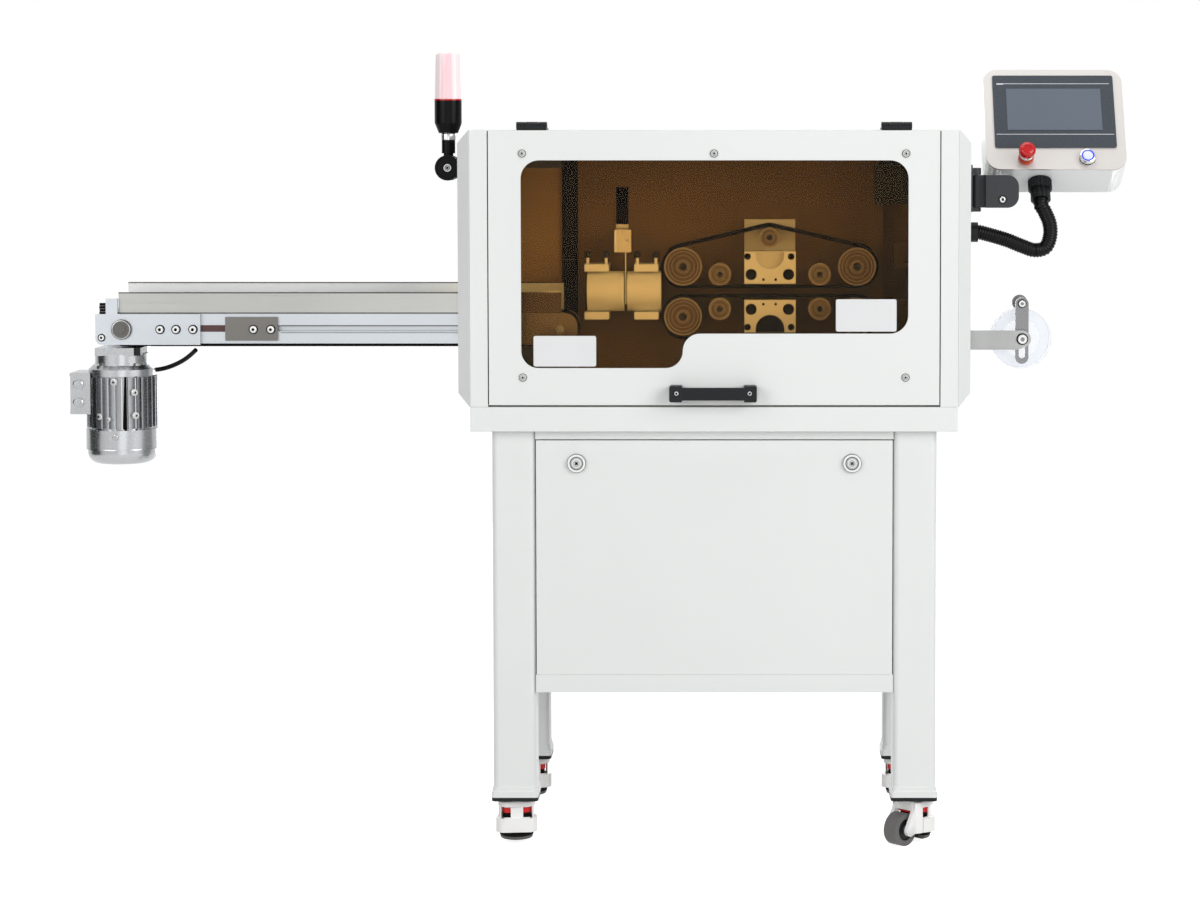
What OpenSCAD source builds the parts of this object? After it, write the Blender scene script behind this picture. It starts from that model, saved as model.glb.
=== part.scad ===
// Tube cutting machine: belt feed, guillotine blade and outfeed conveyor in a wheeled cabinet.
// Millimetres. X runs to the operator's right, Y to the back, Z up from the floor.

/* [Stand] */
// Width over the four legs
stand_w = 856; // [700:2:1000]
// Depth over the four legs
stand_d = 466; // [400:2:600]
// Width of one square leg
leg_w = 83; // [50:1:100]
// Height of the top of the legs
leg_top_z = 809; // [700:2:900]
// Underside of the lower compartment
sill_z = 301; // [200:2:400]
// Height of the front sill
sill_h = 35; // [25:1:50]
// Setback of the legs behind the cabinet front
stand_setback = 20; // [10:1:40]
// Sheet thickness of the stand
stand_sheet = 2.5; // [1.5:0.5:4]

/* [Casters] */
// Height of the caster under the leg plate
caster_h = 96; // [90:1:110]
// Radius of the caster wheel
wheel_r = 31.5; // [28:0.5:34]
// Width of the caster wheel
wheel_w = 30; // [24:1:34]
// Width of the levelling pad
foot_w = 52; // [44:1:56]
// Clearance of the raised pad over the floor
foot_lift = 12; // [10:0.5:14]

/* [Cabinet] */
// Width of the cabinet between the side covers
cabinet_w = 934; // [800:2:1100]
// Depth of the cabinet
cabinet_d = 505; // [450:5:600]
// Top of the roof
cabinet_top_z = 1386; // [1366:1:1500]
// Thickness of the folded table plate
table_h = 47; // [30:1:60]
// Bulge of each side cover
cover_bulge = 25; // [15:1:35]
// Width of the front strip beside the door
strip_w = 36; // [25:1:50]
// Cabinet sheet thickness
sheet = 2.5; // [1.5:0.5:4]
// Depth of the folded door pan
door_t = 25; // [18:1:35]
// Gap around the door and the panels
door_gap = 2; // [1:0.5:4]
// Radius of the tube inlet
inlet_r = 25; // [15:1:35]

/* [Door window] */
// Left edge of the window
window_left = -369; // [-390:1:-300]
// Right edge of the window
window_right = 371; // [300:1:390]
// Top edge of the window
window_top_z = 1328; // [1300:1:1338]
// Bottom edge of the window at the left
window_low_z = 931; // [913:1:953]
// Bottom edge of the window at the right
window_high_z = 997; // [977:1:1023]
// Middle of the step between the two bottom edges
window_step_x = -60; // [-150:1:50]
// Corner radius of the window
window_r = 35; // [20:1:45]
// Thickness of the pane
pane_t = 4; // [3:0.5:6]

/* [Feed] */
// Height of the tube's centre line
feed_z = 1071; // [1063:1:1083]
// Distance of the tube's centre line behind the cabinet front
feed_y = 150; // [145:1:160]
// Gap between the two belts
feed_gap = 13; // [8:0.5:24]
// Radius of the four feed pulleys
pulley_r = 37; // [30:1:40]
// Radius of the four idlers
idler_r = 22; // [16:1:24]
// Radius of the two tension pulleys
tension_r = 20; // [15:1:24]
// Thickness of a feed belt
belt_t = 5; // [3:0.5:6]
// Width of a feed belt
belt_w = 30; // [20:1:40]
// Radius of the tube guide barrels
barrel_r = 39.5; // [30:0.5:42]
// Bore of the tube guide barrels
barrel_bore_r = 12; // [6:0.5:20]
// Slot between the barrels for the blade
blade_slot = 6; // [4:0.5:8]
// Thickness of the blade
blade_t = 2; // [1:0.25:3]
// Lift of the blade
blade_lift = 75; // [60:1:80]

/* [Conveyor] */
// Far end of the conveyor
conveyor_left = -1204; // [-1400:1:-1100]
// Inner end of the conveyor
conveyor_right = -267; // [-300:1:-262]
// Width over the two side beams
conveyor_w = 96; // [86:1:110]
// Height of a side beam
beam_h = 60; // [50:1:70]
// Thickness of a side beam
beam_t = 20; // [15:1:22]
// Height of the drum axes
drum_z = 999; // [993:1:1003]
// Radius of the drums
drum_r = 32; // [28:0.5:34]
// Thickness of the conveyor belt
band_t = 2.5; // [1.5:0.5:4]
// Height of the front side of the trough
trough_h = 41; // [30:1:50]
// Extra height of the rear side of the trough
trough_step = 16; // [0:1:20]
// Radius of the motor barrel over its fins
motor_r = 69; // [50:1:75]
// Number of cooling fins around the motor
fin_count = 32; // [16:4:40]

/* [Signal lamp] */
// Distance of the lamp axis from the side cover
lamp_gap = 24; // [22:1:38]
// Distance of the lamp behind the cabinet front
lamp_y = 100; // [60:1:200]
// Height of the folding joint
lamp_pivot_z = 1313; // [1293:1:1333]
// Radius of the lamp lens
lens_r = 26.5; // [20:0.5:30]
// Height of the lamp lens
lens_h = 89; // [60:1:120]

/* [Operator panel] */
// Width of the panel box
hmi_w = 274; // [240:1:320]
// Height of the panel box
hmi_h = 226; // [200:1:260]
// Depth of the panel box
hmi_d = 92; // [70:1:110]
// Backward lean of the panel box
hmi_lean = 30; // [20:1:40]
// Gap between the side cover and the panel box
hmi_gap = 38; // [34:1:60]
// Corner radius of the panel box
hmi_r = 29; // [15:1:40]
// Radius of the two buttons
button_r = 16; // [12:0.5:18]
// Radius of the cable conduit
conduit_r = 15; // [10:0.5:15.5]

/* [Guide wheel] */
// Distance of the guide wheel from the side cover
guide_gap = 108; // [85:1:105]
// Height of the guide wheel axis
guide_z = 979; // [978:1:998]
// Radius of the guide wheel
guide_r = 58.5; // [45:1:60]
// Radius of the roller over the guide bar
roller_r = 9.5; // [6:0.5:14]

/* [Hidden] */
$fn = 64;

// Clearances: pieces seated side by side, and a shaft in its bore
seat = 0.3;
fit = 0.05;
eps = 1;

// The model's origin lies under the middle of its outline
origin_x = 227;
origin_y = -241.5;

// Stand
leg_r = 12;
leg_front_y = stand_setback;
leg_back_y = stand_setback + stand_d;
leg_in_x = stand_w / 2 - leg_w;
leg_cx = stand_w / 2 - leg_w / 2;
leg_front_cy = leg_front_y + leg_w / 2;
leg_back_cy = leg_back_y - leg_w / 2;
plate_w = 90;
plate_t = 12;
collar_w = 86;
collar_h = 8;
leg_foot_z = caster_h + plate_t + collar_h;
rail_h = 17;
panel_t = 18;

// Casters: x side, y place and heading of the wheel for each
caster_places = [
  [-leg_cx, leg_front_cy, 96],
  [leg_cx, leg_front_cy, 226],
  [-leg_cx, leg_back_cy, 112],
  [leg_cx, leg_back_cy, 74]
];
caster_plate_t = 7;
race_h = 4;
housing_w = 66;
housing_low = 26;
housing_back = 27;
wheel_trail = 37.5;
foot_trail = -3;
foot_pad_h = 10;
axle_r = 5;
cheek_y = 24;
cheek_t = 8;

// Cabinet
table_z = leg_top_z;
cab_z = leg_top_z + table_h;
cab_x = cabinet_w / 2;
door_x = cab_x - strip_w;
rim = 30;
hinge_x = 349;
hinge_r = 7.5;
hinge_y = door_t + 1.5;
hinge_z = cabinet_top_z + hinge_r + 0.5;
door_low_z = cab_z + 4;
door_top_z = cabinet_top_z - 1;
plate_y = feed_y + 58;
plate_x = [-271, 333];
handle_x = -2;
handle_z = 883.5;
lock_x = leg_in_x - 80;
lock_z = leg_top_z - 63;
lock_r = 18.4;
pane_lap = 15;

// Feed
feed_back = 12;
pulley_x = [-62, 278];
idler_x = [10, 205];
tension_x = 107;
pulley_dz = feed_gap / 2 + belt_t + seat + pulley_r;
idler_dz = feed_gap / 2 + belt_t + seat + idler_r;
tension_dz = 106;
block_w = 100;
stud_r = 8;
blade_x = -174;
barrel_gap_l = blade_x - blade_slot / 2;
barrel_gap_r = blade_x + blade_slot / 2;
barrel_l = 72;

// Conveyor
beam_z = drum_z - beam_h / 2;
beam_left = conveyor_left + 104;
beam_right = conveyor_right - 63;
drum_left_x = conveyor_left + 51;
drum_right_x = conveyor_right - 34;
band_w = conveyor_w - 2 * beam_t - 4;
end_plate_t = 8;
motor_x = conveyor_left + 39;
shaft_r = 8;

// Operator panel, lamp and guide wheel stand off the side covers
flange_x = cab_x + cover_bulge;
lamp_x = flange_x + lamp_gap;
guide_x = flange_x + guide_gap;
roller_z = guide_z + guide_r + roller_r + 0.8;
hmi_left = flange_x + hmi_gap;
hmi_y = 120;
hmi_z = 1310;
button_dx = 60;
button_z = 24;
arm_z = 1236;
arm_h = 63;
arm_y = 70;
arm_w = 56;
arm_end_x = hmi_left + 58;
arm_neck = 16;
swivel_x = flange_x + 16;
swivel_y = arm_y + arm_w / 2;
swivel_low_z = arm_z - 8;
swivel_top_z = arm_z + arm_h + 14;
tilt_y = hmi_y + 19;
tilt_z = hmi_z - 27;
ear_x = [hmi_left + 12, hmi_left + 48];
ear_t = 10;
gland_x = hmi_left + 107;
gland_y = 45;
gland_h = 44;
conduit_y = 136;
conduit_z = 1187;

module placed() {
  translate([origin_x, origin_y, 0]) children();
}

// A bar between two corners
module bar(a, b) {
  translate(a) cube(b - a);
}

// A round bar along Y from y0 to y1
module y_rod(x, z, r, y0, y1) {
  translate([x, y0, z]) rotate([-90, 0, 0]) cylinder(r = r, h = y1 - y0);
}

// A round bar along X from x0 to x1
module x_rod(y, z, r, x0, x1) {
  translate([x0, y, z]) rotate([0, 90, 0]) cylinder(r = r, h = x1 - x0);
}

// A round bar along Z from z0 to z1
module z_rod(x, y, r, z0, z1) {
  translate([x, y, z0]) cylinder(r = r, h = z1 - z0);
}

// A flat outline in X and Z, made thick from y0 back to y1
module slab(y0, y1) {
  translate([0, y1, 0]) rotate([90, 0, 0]) linear_extrude(y1 - y0) children();
}

// A rectangle with round corners between two corners
module round_rect(a, b, r) {
  union() {
    translate([a.x + r, a.y]) square([b.x - a.x - 2 * r, b.y - a.y]);
    translate([a.x, a.y + r]) square([b.x - a.x, b.y - a.y - 2 * r]);
    for (x = [a.x + r, b.x - r], y = [a.y + r, b.y - r]) translate([x, y]) circle(r = r);
  }
}

// A slot outline between two centres on one level
module stadium(x0, x1, z, r) {
  union() {
    translate([x0, z - r]) square([x1 - x0, 2 * r]);
    for (x = [x0, x1]) translate([x, z]) circle(r = r);
  }
}

module mirror_x() {
  children();
  mirror([1, 0, 0]) children();
}

// One square leg with its base plate and the caster's top plate
module leg(x, y) {
  translate([x, y, leg_foot_z]) linear_extrude(leg_top_z - leg_foot_z) difference() {
    round_rect([-leg_w / 2, -leg_w / 2], [leg_w / 2, leg_w / 2], leg_r);
    round_rect([-leg_w / 2 + 3, -leg_w / 2 + 3], [leg_w / 2 - 3, leg_w / 2 - 3], leg_r - 3);
  }
  translate([x, y, caster_h]) linear_extrude(plate_t)
    round_rect([-plate_w / 2, -plate_w / 2], [plate_w / 2, plate_w / 2], 6);
  translate([x, y, caster_h + plate_t - 0.5]) linear_extrude(collar_h + 0.5)
    round_rect([-collar_w / 2, -collar_w / 2], [collar_w / 2, collar_w / 2], 10);
  translate([x, y, caster_h - caster_plate_t - seat]) linear_extrude(caster_plate_t)
    round_rect([-plate_w / 2, -plate_w / 2], [plate_w / 2, plate_w / 2], 10);
}

module stand_frame() {
  placed() color("whitesmoke")
    for (x = [-leg_cx, leg_cx], y = [leg_front_cy, leg_back_cy]) leg(x, y);
}

// Skins, sill, floor and top rail between the legs, and the control box on the floor
module stand_panels() {
  side_y = [leg_front_y + leg_w + seat, leg_back_y - leg_w - seat];
  side_x = stand_w / 2 - 12;
  back_y = leg_back_y - 12;
  x = leg_in_x - seat;
  z1 = leg_top_z - seat;
  placed() color("whitesmoke") {
    mirror_x() bar([side_x, side_y[0], sill_z], [side_x + stand_sheet, side_y[1], z1]);
    bar([-x, back_y, sill_z], [x, back_y + stand_sheet, z1]);
    bar([-x, leg_front_y, sill_z], [x, leg_front_y + 30, sill_z + sill_h - seat]);
    bar([-x, leg_front_y + 30 + seat, sill_z], [x, back_y - seat, sill_z + stand_sheet]);
    bar([-x, leg_front_y, leg_top_z - rail_h], [x, leg_front_y + panel_t, z1]);
    control_box();
  }
}

module control_box() {
  z = sill_z + stand_sheet + seat;
  box_x = [-220, 180];
  box_y = [250, 420];
  box_h = 260;
  difference() {
    bar([box_x[0], box_y[0], z], [box_x[1], box_y[1], z + box_h]);
    for (i = [0 : 7]) translate([box_x[0] + 40 + i * 40, box_y[0] - 1, z + box_h - 60]) cube([20, 7, 6]);
  }
}

// Lift-off front panel of the stand, folded as a shallow pan
module lower_panel() {
  x = leg_in_x - door_gap;
  y = leg_front_y;
  z0 = sill_z + sill_h;
  z1 = leg_top_z - rail_h - door_gap;
  t = stand_sheet;
  placed() color("whitesmoke") difference() {
    bar([-x, y, z0], [x, y + panel_t, z1]);
    bar([-x + t, y + t, z0 + t], [x - t, y + panel_t + eps, z1 - t]);
    for (s = [-1, 1]) y_rod(s * lock_x, lock_z, 11, y - eps, y + panel_t);
  }
}

// Round cam lock: rosette, barrel through the panel and the cam behind it
module panel_lock(side) {
  y = leg_front_y;
  cam_l = 55;
  placed() color("silver") {
    difference() {
      y_rod(side * lock_x, lock_z, lock_r, y - 3 - seat, y - seat);
      y_rod(side * lock_x, lock_z, 12, y - 3 - seat - eps, y - 2 - seat);
    }
    difference() {
      y_rod(side * lock_x, lock_z, 11 - fit, y - 2.5 - seat, y + panel_t + 2);
      translate([side * lock_x - 1.2, y - 5, lock_z - 5]) cube([2.4, 8, 10]);
    }
    slab(y + panel_t + 2, y + panel_t + 5) union() {
      translate([side * lock_x, lock_z]) circle(r = 12);
      translate([side > 0 ? side * lock_x - cam_l : side * lock_x, lock_z - 10]) square([cam_l, 20]);
    }
  }
}

module panel_lock_left() {
  panel_lock(-1);
}

module panel_lock_right() {
  panel_lock(1);
}

// Folded tray that carries the cabinet, with a flange below that rests on the legs
module table_plate() {
  x = leg_in_x - 20;
  y0 = leg_front_y + leg_w;
  y1 = leg_back_y - leg_w;
  placed() color("whitesmoke") difference() {
    bar([-cab_x, 0, table_z], [cab_x, cabinet_d, cab_z]);
    bar([-cab_x + sheet, sheet, table_z + 3], [cab_x - sheet, cabinet_d - sheet, cab_z - 4]);
    bar([-x, y0, table_z - eps], [x, y1, table_z + 4]);
  }
}

// Roof, back, front posts and door rim in one folded shell
module cabinet_shell() {
  z0 = cab_z + seat;
  y0 = door_t + 2;
  placed() color("whitesmoke") union() {
    bar([-cab_x, y0, cabinet_top_z - sheet], [cab_x, cabinet_d, cabinet_top_z]);
    bar([-cab_x, cabinet_d - sheet, z0], [cab_x, cabinet_d, cabinet_top_z]);
    mirror_x() {
      bar([door_x + door_gap, 0, z0], [cab_x, sheet, cabinet_top_z]);
      bar([door_x + door_gap, 0, cabinet_top_z - sheet], [cab_x, y0 + eps, cabinet_top_z]);
      bar([door_x + door_gap, 0, z0], [door_x + door_gap + sheet, y0 + sheet, cabinet_top_z]);
      bar([cab_x - sheet, 0, z0], [cab_x, y0 + rim, cabinet_top_z]);
      bar([door_x - rim, y0, z0], [cab_x, y0 + sheet, cabinet_top_z]);
      bar([cab_x - sheet, cabinet_d - rim, z0], [cab_x, cabinet_d, cabinet_top_z]);
      bar([cab_x - sheet, y0, cabinet_top_z - rim], [cab_x, cabinet_d, cabinet_top_z]);
      bar([cab_x - sheet, y0, z0], [cab_x, cabinet_d, z0 + rim]);
    }
    bar([-door_x, y0, cabinet_top_z - rim], [door_x, y0 + sheet, cabinet_top_z]);
    bar([-door_x, y0, z0], [door_x, y0 + sheet, z0 + rim / 2]);
  }
}

// Side cover shape: chamfered in front view and in plan, taken where both agree
module cover_form(x0, grow) {
  x1 = cab_x + cover_bulge + grow;
  xc = cab_x + 1;
  c = cover_bulge;
  y0 = -grow;
  y1 = cabinet_d + grow;
  z0 = cab_z - grow;
  z1 = cabinet_top_z + grow;
  intersection() {
    slab(-50, cabinet_d + 50)
      polygon([[x0, z0], [xc + grow, z0], [x1, z0 + c], [x1, z1 - c], [xc + grow, z1], [x0, z1]]);
    translate([0, 0, z0 - 50]) linear_extrude(z1 - z0 + 100)
      polygon([[x0, y0], [xc + grow, y0], [x1, y0 + c], [x1, y1 - c], [xc + grow, y1], [x0, y1]]);
  }
}

module cover_shell() {
  difference() {
    cover_form(cab_x + seat, 0);
    cover_form(cab_x - 5, -sheet);
  }
}

// Left cover with the cut-out for the conveyor
module side_cover_left() {
  wide = conveyor_w + 2 * end_plate_t + 16;
  placed() color("whitesmoke") difference() {
    mirror([1, 0, 0]) cover_shell();
    translate([-cab_x - 40, feed_y - wide / 2, beam_z - 16]) cube([41, wide, beam_h + 86]);
  }
}

// Right cover with the rimmed tube inlet and the conduit's gland
module side_cover_right() {
  placed() color("whitesmoke") {
    difference() {
      union() {
        cover_shell();
        x_rod(feed_y, feed_z, inlet_r + 6, flange_x - 8, flange_x + 4);
      }
      x_rod(feed_y, feed_z, inlet_r, cab_x - 1, flange_x + 10);
    }
    color("black") difference() {
      union() {
        x_rod(conduit_y, conduit_z, 19.5, flange_x + seat, flange_x + 22);
        x_rod(conduit_y, conduit_z, 22, flange_x + seat, flange_x + 7);
      }
      x_rod(conduit_y, conduit_z, conduit_r + seat, flange_x + 12, flange_x + 30);
    }
  }
}

// Plate that carries the feed and the blade, its edge plate, rail and motors
module machine_plate() {
  x0 = plate_x[0];
  x1 = plate_x[1];
  z0 = cab_z + seat;
  z1 = cabinet_top_z - 43;
  back_y = plate_y + feed_back;
  bracket = [12, 108, 160];
  slot_z = feed_z + 92;
  stud_end = plate_y - seat;
  placed() color("silver") {
    difference() {
      bar([x0, plate_y, z0], [x1, back_y, z1]);
      translate([blade_x - 22.5, plate_y - 1, slot_z]) cube([25, feed_back + 2, 111]);
    }
    bar([x0 - 32, plate_y, feed_z + 60], [x0 - seat, back_y, z1]);
    for (x = [x0 + 30, x1 - 42]) translate([x, back_y + seat, z0]) cube(bracket);
    for (s = [-1, 1]) {
      for (x = pulley_x) y_rod(x, feed_z + s * pulley_dz, stud_r, feed_y - 27, stud_end);
      for (x = idler_x) y_rod(x, feed_z + s * idler_dz, stud_r - 2, feed_y - 27, stud_end);
      y_rod(tension_x, feed_z + s * tension_dz, stud_r - 2, feed_y - 27, stud_end);
      feed_motor(pulley_x[1], feed_z + s * pulley_dz, 56, 90);
    }
    feed_motor(pulley_x[0] + 2, feed_z + 182, 84, 110);
  }
}

// Square motor behind the plate
module feed_motor(x, z, w, l) {
  y = plate_y + feed_back + seat;
  bar([x - w / 2, y, z - w / 2], [x + w / 2, y + l, z + w / 2]);
}

// Outline of the window in the door
module window_shape() {
  r = (window_high_z - window_low_z) / 2;
  union() {
    round_rect([window_left, window_high_z], [window_right, window_top_z], window_r);
    round_rect([window_left, window_low_z], [window_step_x, window_high_z + 2 * window_r], r);
    difference() {
      translate([window_step_x, window_high_z - r]) square([r, r + window_r]);
      translate([window_step_x + r, window_high_z - r]) circle(r = r);
    }
  }
}

module front_door() {
  placed() color("whitesmoke") difference() {
    union() {
      bar([-door_x, 0, door_low_z], [door_x, door_t, door_top_z]);
      for (s = [-1, 1]) translate([s * hinge_x, 0, 0]) {
        bar([-28, door_t - 11, door_top_z - 2], [28, door_t - 7, hinge_z]);
        bar([-12, door_t - 10, hinge_z - 3], [12, hinge_y, hinge_z + 3]);
        x_rod(hinge_y, hinge_z, hinge_r, -12, 12);
      }
    }
    bar([-door_x + sheet, sheet, door_low_z + sheet], [door_x - sheet, door_t + eps, door_top_z - sheet]);
    slab(-eps, sheet + eps) window_shape();
    for (s = [-1, 1]) x_rod(hinge_y, hinge_z, 3, s * hinge_x - 20, s * hinge_x + 20);
  }
}

module window_pane() {
  y = sheet + seat;
  lap_z = 2 * pane_lap;
  low = [window_left - pane_lap, y, window_low_z - lap_z];
  high = [window_right + pane_lap, y + pane_t, window_top_z + lap_z];
  placed() color([0.45, 0.25, 0.05, 0.6]) bar(low, high);
}

// Bridge handle with two raised ends
module door_handle() {
  l = 167;
  h = 31;
  placed() color("dimgray") translate([handle_x, 0, handle_z]) difference() {
    slab(-32, -seat) round_rect([-l / 2, -h / 2], [l / 2, h / 2], 4);
    bar([-l / 2 + 26, -22, -h], [l / 2 - 26, 1, h]);
    for (s = [-1, 1]) {
      y_rod(s * 70, 0, 5.5, -33, -12);
      bar([-l / 2 + 24, -33, s * 18 - 6], [l / 2 - 24, 1, s * 18 + 6]);
    }
  }
}

// Roof halves of the two door hinges with their pins
module door_hinges() {
  z = cabinet_top_z + seat;
  knuckle_w = 17;
  placed() color("black") for (s = [-1, 1]) translate([s * hinge_x, 0, 0]) {
    x_rod(hinge_y, hinge_z, 3 - fit, -29, 29);
    for (x = [-21, 21]) {
      x_rod(hinge_y, hinge_z, hinge_r - 0.2, x - knuckle_w / 2, x + knuckle_w / 2);
      bar([x - knuckle_w / 2, hinge_y + 1, z], [x + knuckle_w / 2, hinge_y + 12, hinge_z + 3]);
    }
    bar([-30, hinge_y + 9, z], [30, hinge_y + 34, z + 4]);
  }
}

// Two split barrels, their clamp bars and the screws on top
module tube_guides() {
  clamp_h = 14;
  clamp_w = 47;
  clamp_y = feed_y - 32;
  screw_y = feed_y - 24;
  screw_z = feed_z + barrel_r + clamp_h + 2 * seat;
  // Left end, length and clamp offset of each barrel
  barrels = [[barrel_gap_l - barrel_l, barrel_l, -5], [barrel_gap_r, barrel_l - 6, 14]];
  placed() color("goldenrod") for (b = barrels) {
    clamp_x = b[0] + b[2];
    difference() {
      x_rod(feed_y, feed_z, barrel_r, b[0], b[0] + b[1]);
      x_rod(feed_y, feed_z, barrel_bore_r, b[0] - 1, b[0] + b[1] + 1);
    }
    for (z = [feed_z - barrel_r - seat - clamp_h, feed_z + barrel_r + seat])
      bar([clamp_x, clamp_y, z], [clamp_x + clamp_w, plate_y - seat, z + clamp_h]);
    for (x = [clamp_x + 6, clamp_x + 42]) {
      z_rod(x, screw_y, 3, screw_z, screw_z + 12);
      z_rod(x, screw_y, 6, screw_z + 12 + seat, screw_z + 25);
    }
  }
}

// Blade, its holder and the carriage that runs on the back of the plate
module blade_slide() {
  z0 = feed_z + 77;
  back_y = plate_y + feed_back;
  placed() color("silver") union() {
    difference() {
      bar([blade_x - 22, feed_y - 25, z0], [blade_x + 11, feed_y + 25, z0 + 44]);
      y_rod(blade_x + 4, z0 + 23, 4, feed_y - 26, feed_y - 18);
    }
    slab(feed_y - 23, feed_y + 23) blade_outline(z0 + 1);
    bar([blade_x - 20, feed_y + 24, z0 + 20], [blade_x, back_y + 4, z0 + 42]);
    bar([blade_x - 30, back_y + seat, z0 + 10], [blade_x + 30, back_y + 20, z0 + 52]);
  }
}

module blade_outline(z1) {
  z0 = feed_z - 24;
  translate([blade_x - blade_t / 2, z0]) square([blade_t, z1 - z0]);
}

// Pressure blocks inside the two belt loops
module feed_block() {
  x0 = tension_x - block_w / 2 + 1;
  xm = tension_x + 1;
  y0 = feed_y - 32;
  y1 = plate_y - seat;
  z0 = feed_z + feed_gap / 2 + belt_t + 4.5;
  cup_r = 28;
  difference() {
    union() {
      bar([x0, y0, z0], [x0 + block_w, y1, z0 + 63]);
      bar([x0, feed_y + belt_w / 2 + 10, z0 + 62], [x0 + block_w, y1, z0 + 124]);
    }
    slab(y0 - 1, y0 + 14) union() {
      translate([xm, z0 + 29 + cup_r]) circle(r = cup_r);
      translate([xm - cup_r, z0 + 29 + cup_r]) square([2 * cup_r, 20]);
    }
    for (dx = [-43, 42]) y_rod(tension_x + dx, z0 + 53, 6.5, y0 - 1, y0 + 12);
    for (dx = [-36, 37]) y_rod(tension_x + dx, z0 + 18, 11, y0 - 1, y0 + 12);
    for (dx = [-12, 12]) y_rod(tension_x + dx, z0 + 8, 2.7, y0 - 1, y0 + 12);
    y_rod(tension_x, feed_z + tension_dz, stud_r - 1, y0, plate_y);
  }
}

module feed_blocks() {
  placed() color("gold") {
    feed_block();
    translate([0, 0, 2 * feed_z]) mirror([0, 0, 1]) feed_block();
  }
}

// Outline round the three pulleys of one belt, grown by e
module belt_loop(e) {
  hull() {
    for (x = pulley_x) translate([x, feed_z + pulley_dz]) circle(r = pulley_r + e);
    translate([tension_x, feed_z + tension_dz]) circle(r = tension_r + e);
  }
}

module upper_belt() {
  slab(feed_y - belt_w / 2, feed_y + belt_w / 2) difference() {
    belt_loop(belt_t + seat);
    belt_loop(seat);
  }
}

module feed_belts() {
  placed() color("black") {
    upper_belt();
    translate([0, 0, 2 * feed_z]) mirror([0, 0, 1]) upper_belt();
  }
}

// Pulley with two rims and a bore, centred on a stud
module pulley(x, z, r, bore_r) {
  y0 = feed_y - belt_w / 2 - 7;
  y1 = feed_y + belt_w / 2 + 3;
  difference() {
    union() {
      y_rod(x, z, r, y0, y1);
      y_rod(x, z, bore_r + 6, y0 - 4, y1 + 6);
    }
    y_rod(x, z, bore_r + fit, y0 - 6, y1 + 8);
    difference() {
      y_rod(x, z, r - 7, y0 - 1, y0 + 4);
      y_rod(x, z, bore_r + 6, y0 - 2, y0 + 5);
    }
  }
}

module feed_pulley_at(i, s) {
  placed() color("silver") pulley(pulley_x[i], feed_z + s * pulley_dz, pulley_r, stud_r);
}

module feed_pulley_1() {
  feed_pulley_at(0, 1);
}

module feed_pulley_2() {
  feed_pulley_at(1, 1);
}

module feed_pulley_3() {
  feed_pulley_at(0, -1);
}

module feed_pulley_4() {
  feed_pulley_at(1, -1);
}

module belt_idlers() {
  placed() color("silver") for (x = idler_x, s = [-1, 1])
    pulley(x, feed_z + s * idler_dz, idler_r, stud_r - 2);
}

module tension_pulley_upper() {
  placed() color("silver") pulley(tension_x, feed_z + tension_dz, tension_r, stud_r - 2);
}

module tension_pulley_lower() {
  placed() color("silver") pulley(tension_x, feed_z - tension_dz, tension_r, stud_r - 2);
}

// Rails and sensor bracket that lead the tube from the inlet to the belts
module inlet_guide() {
  x0 = plate_x[1] + 19;
  x1 = cab_x - 4;
  rail_y = [feed_y - 30, feed_y + 30];
  post_x = [x0 + 28, x0 + 48];
  low_z = feed_z - 26;
  high_z = feed_z + 56;
  back_y = plate_y + feed_back + seat;
  placed() color("silver") {
    difference() {
      union() {
        bar([x0, rail_y[0], high_z - 9], [x1, rail_y[1], high_z]);
        bar([x0, rail_y[0], low_z + 1], [x1, rail_y[1], low_z + 10]);
        bar([post_x[0], rail_y[1] - 2, low_z], [post_x[1], back_y + 8, high_z]);
        bar([x0 - 40, back_y, low_z], [post_x[1], back_y + 14, high_z]);
      }
      x_rod(feed_y, feed_z - 10, 12, x0 - 2, x1 + 4);
    }
    bar([x0, feed_y - 14, high_z + seat], [x0 + 22, feed_y + 10, high_z + 38]);
  }
}

// Safety switch of the door under the roof
module door_switch() {
  x = door_x - 122;
  z = cabinet_top_z - 143;
  z1 = cabinet_top_z - sheet - seat;
  placed() color("black") {
    difference() {
      bar([x, 60, z], [x + 64, 100, z + 75]);
      bar([x + 11, 59, z + 10], [x + 53, 62, z + 65]);
    }
    bar([x + 6, 70, z + 75 + seat], [x + 58, 90, z1]);
  }
}

// Side beams with their slots, the bed between them and the plates at both ends
module conveyor_frame() {
  yf = feed_y - conveyor_w / 2;
  bed = [beam_left + 60, beam_right - 40];
  bed_z = beam_z + beam_h - 6;
  cover_x = [conveyor_left + 252, conveyor_left + 354];
  placed() color("silver") {
    for (s = [0, 1]) translate([0, feed_y, 0]) mirror([0, s, 0]) translate([0, -feed_y, 0]) {
      difference() {
        bar([beam_left, yf, beam_z], [beam_right, yf + beam_t, beam_z + beam_h]);
        bar([beam_left - 1, yf - 1, drum_z - 4], [beam_right + 1, yf + 4, drum_z + 8]);
        bar([beam_left - 1, yf + 3, drum_z - 8], [beam_right + 1, yf + 9, drum_z + 12]);
      }
      end_plate_left(yf);
      end_plate_right(yf);
      bar([cover_x[0], yf - 6, beam_z + 8], [cover_x[1], yf - seat, beam_z + beam_h - 6]);
      for (x = [cover_x[0] + 55, cover_x[1] - 13]) y_rod(x, drum_z, 5, yf - 9, yf - 6 - seat);
    }
    bar([bed[0], yf + beam_t + seat, bed_z], [bed[1], yf + conveyor_w - beam_t - seat, bed_z + 5]);
    conveyor_bracket(yf);
  }
}

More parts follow.
